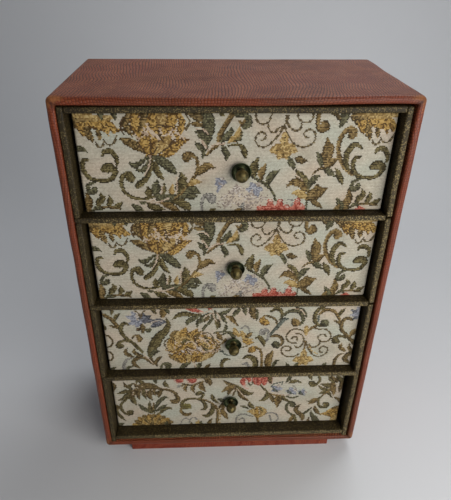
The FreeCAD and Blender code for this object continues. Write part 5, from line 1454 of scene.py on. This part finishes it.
def drawerKnob(number):
    drawer = "drawer_%d" % number
    low, high = boxOf(drawer + "_dish")
    x, z, seat = (low[0] + high[0]) / 2, (low[2] + high[2]) / 2, high[1]
    flat, rim, deep, hole = brass["dishFlat"] / 2, brass["dish"] / 2, brass["dishDeep"], brass["pinHole"]
    sheet, steps = brass["sheet"], 8
    wall = []
    for s in np.linspace(0, 1, steps + 1):
        bow = 4 * brass["bow"] * s * (1 - s)      # the dish's wall is bowed outwards
        wall.append((flat + (rim - flat) * s + bow * 0.6, -deep * s + bow * 0.8))
    lip = arc(rim - sheet / 2, -deep, sheet / 2, 0, -180, 5)
    inside = [(r - sheet * 0.86, y - sheet * 0.5 * (1 - k / steps)) for k, (r, y) in enumerate(wall)]
    outline = [(hole, 0), (flat * 0.7, 0)] + wall + lip[1:-1] + inside[-2::-1]
    outline += [(flat * 0.6, -sheet), (hole, -sheet)]
    dish = turning(drawer + "_dish_pressed", outline, x, seat, z, darkBrass, 80 + number, brass["dishDent"])
    finishPiece(dish, drawer, "dark_brass", drawer + "_dish")

    ball, neck, collar = brass["ball"] / 2, brass["neck"] / 2, brass["collar"] / 2
    base = -sheet
    collarEnd = base - brass["collarHigh"]
    neckAngle = math.degrees(math.asin(neck / ball))
    outline = [(0, base), (collar * 0.9, base), (collar, base - 0.15), (collar, collarEnd + 0.2),
               (collar * 0.85, collarEnd), (neck + 0.25, collarEnd - 0.25), (neck, collarEnd - 0.9)]
    outline += [(r, -brass["reach"] + h) for r, h in arc(0, 0, ball, 90 - neckAngle, -90, 22)]
    outline[-1] = (0, outline[-1][1])
    knob = turning(drawer + "_knob_turned", outline, x, seat, z, agedBrass, 90 + number, brass["knobDent"])
    finishPiece(knob, drawer, "aged_brass", drawer + "_knob")


for number in (1, 2, 3, 4):
    drawerKnob(number)
print("knobs turned")


# solids that keep their shape

for name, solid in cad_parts.items():
    if name.endswith("_front"):
        finish = greyboard
    elif name.endswith("_pin"):
        finish = agedBrass
    elif name == "plinth":
        finish = plinthLeather
    elif "side" in name or name.endswith("_floor") or name.endswith("_back"):
        finish = goldPaper
    else:
        continue
    for held in solid.material_slots:
        held.material = finish
print("solids finished")


# studio

studio = {"floor": 3.0, "wall": 0.62, "bend": 0.35, "wallHigh": 2.6, "key": 2.55, "keyTurn": 35,
          "keyRise": 14, "keyAway": 0.52, "keySize": 0.42, "keyAim": 0.13, "high": 3.6, "fill": 0.2,
          "world": 0.17, "sky": colour(232, 236, 242)}


def sweep():
    half, wall, bend = studio["floor"], studio["wall"], studio["bend"]
    line = [(-half, 0.0), (wall - bend, 0.0)]
    line += [(wall - bend + bend * math.sin(a), bend * (1 - math.cos(a))) for a in arcSteps(10)[1:]]
    line.append((wall, studio["wallHigh"]))
    points = [(x, y, z) for y, z in line for x in (-half, half)]
    faces = [(2 * k, 2 * k + 1, 2 * k + 3, 2 * k + 2) for k in range(len(line) - 1)]
    floor = meshPiece("floorSweep", points, faces, floorFinish())


def softLamp(name, at, target, size, power, tint):
    lamp = bpy.data.lights.new(name, "AREA")
    lamp.size, lamp.energy, lamp.color = size, power, tint
    holder = bpy.data.objects.new(name, lamp)
    holder.location = at
    holder.rotation_euler = (Vector(target) - Vector(at)).to_track_quat("-Z", "Y").to_euler()
    bpy.context.scene.collection.objects.link(holder)


eye = {"at": (-16.26, -278.7, 312.9), "yaw": -2.6757, "pitch": 31.32, "roll": 0.69099,
       "film": 36.0, "focal": 35.0928}


def viewer():
    yaw, pitch, roll = (math.radians(eye[k]) for k in ("yaw", "pitch", "roll"))
    side = Vector((math.cos(yaw), math.sin(yaw), 0))
    ahead = Vector((-math.sin(yaw), math.cos(yaw), 0))
    upright = Vector((0, 0, 1))
    forward = ahead * math.cos(pitch) - upright * math.sin(pitch)
    up = ahead * math.sin(pitch) + upright * math.cos(pitch)
    right = side * math.cos(roll) + up * math.sin(roll)
    top = up * math.cos(roll) - side * math.sin(roll)
    camera = bpy.data.objects.new("camera", bpy.data.cameras.new("camera"))
    camera.matrix_world = Matrix((right, top, -forward)).transposed().to_4x4()
    camera.location = Vector(eye["at"]) * mm
    camera.data.sensor_width, camera.data.lens = eye["film"], eye["focal"]
    camera.data.clip_start = 0.01
    bpy.context.scene.collection.objects.link(camera)
    bpy.context.scene.camera = camera


sweep()
keyTurn, keyRise = math.radians(studio["keyTurn"]), math.radians(studio["keyRise"])
level = Vector((math.sin(keyTurn), -math.cos(keyTurn), 0)) * math.cos(keyRise)
keyWay = level + Vector((0, 0, math.sin(keyRise)))
aim = Vector((0, 0, studio["keyAim"]))
keySpot = aim + keyWay * studio["keyAway"]
softLamp("keyLamp", keySpot, aim, studio["keySize"], studio["key"], (1.0, 0.985, 0.96))
softLamp("highLamp", (0.3, 0.35, 0.9), (0, 0.02, 0.25), 0.5, studio["high"], (0.94, 0.97, 1.0))
softLamp("fillLamp", (-0.9, -0.5, 0.5), (0, 0, 0.12), 0.9, studio["fill"], (0.92, 0.96, 1.0))
world = bpy.data.worlds.new("room")
world.use_nodes = True
sky = world.node_tree.nodes["Background"].inputs
sky["Color"].default_value, sky["Strength"].default_value = studio["sky"], studio["world"]
bpy.context.scene.world = world
bpy.context.scene.view_settings.view_transform = "Standard"
viewer()
print("studio lit")
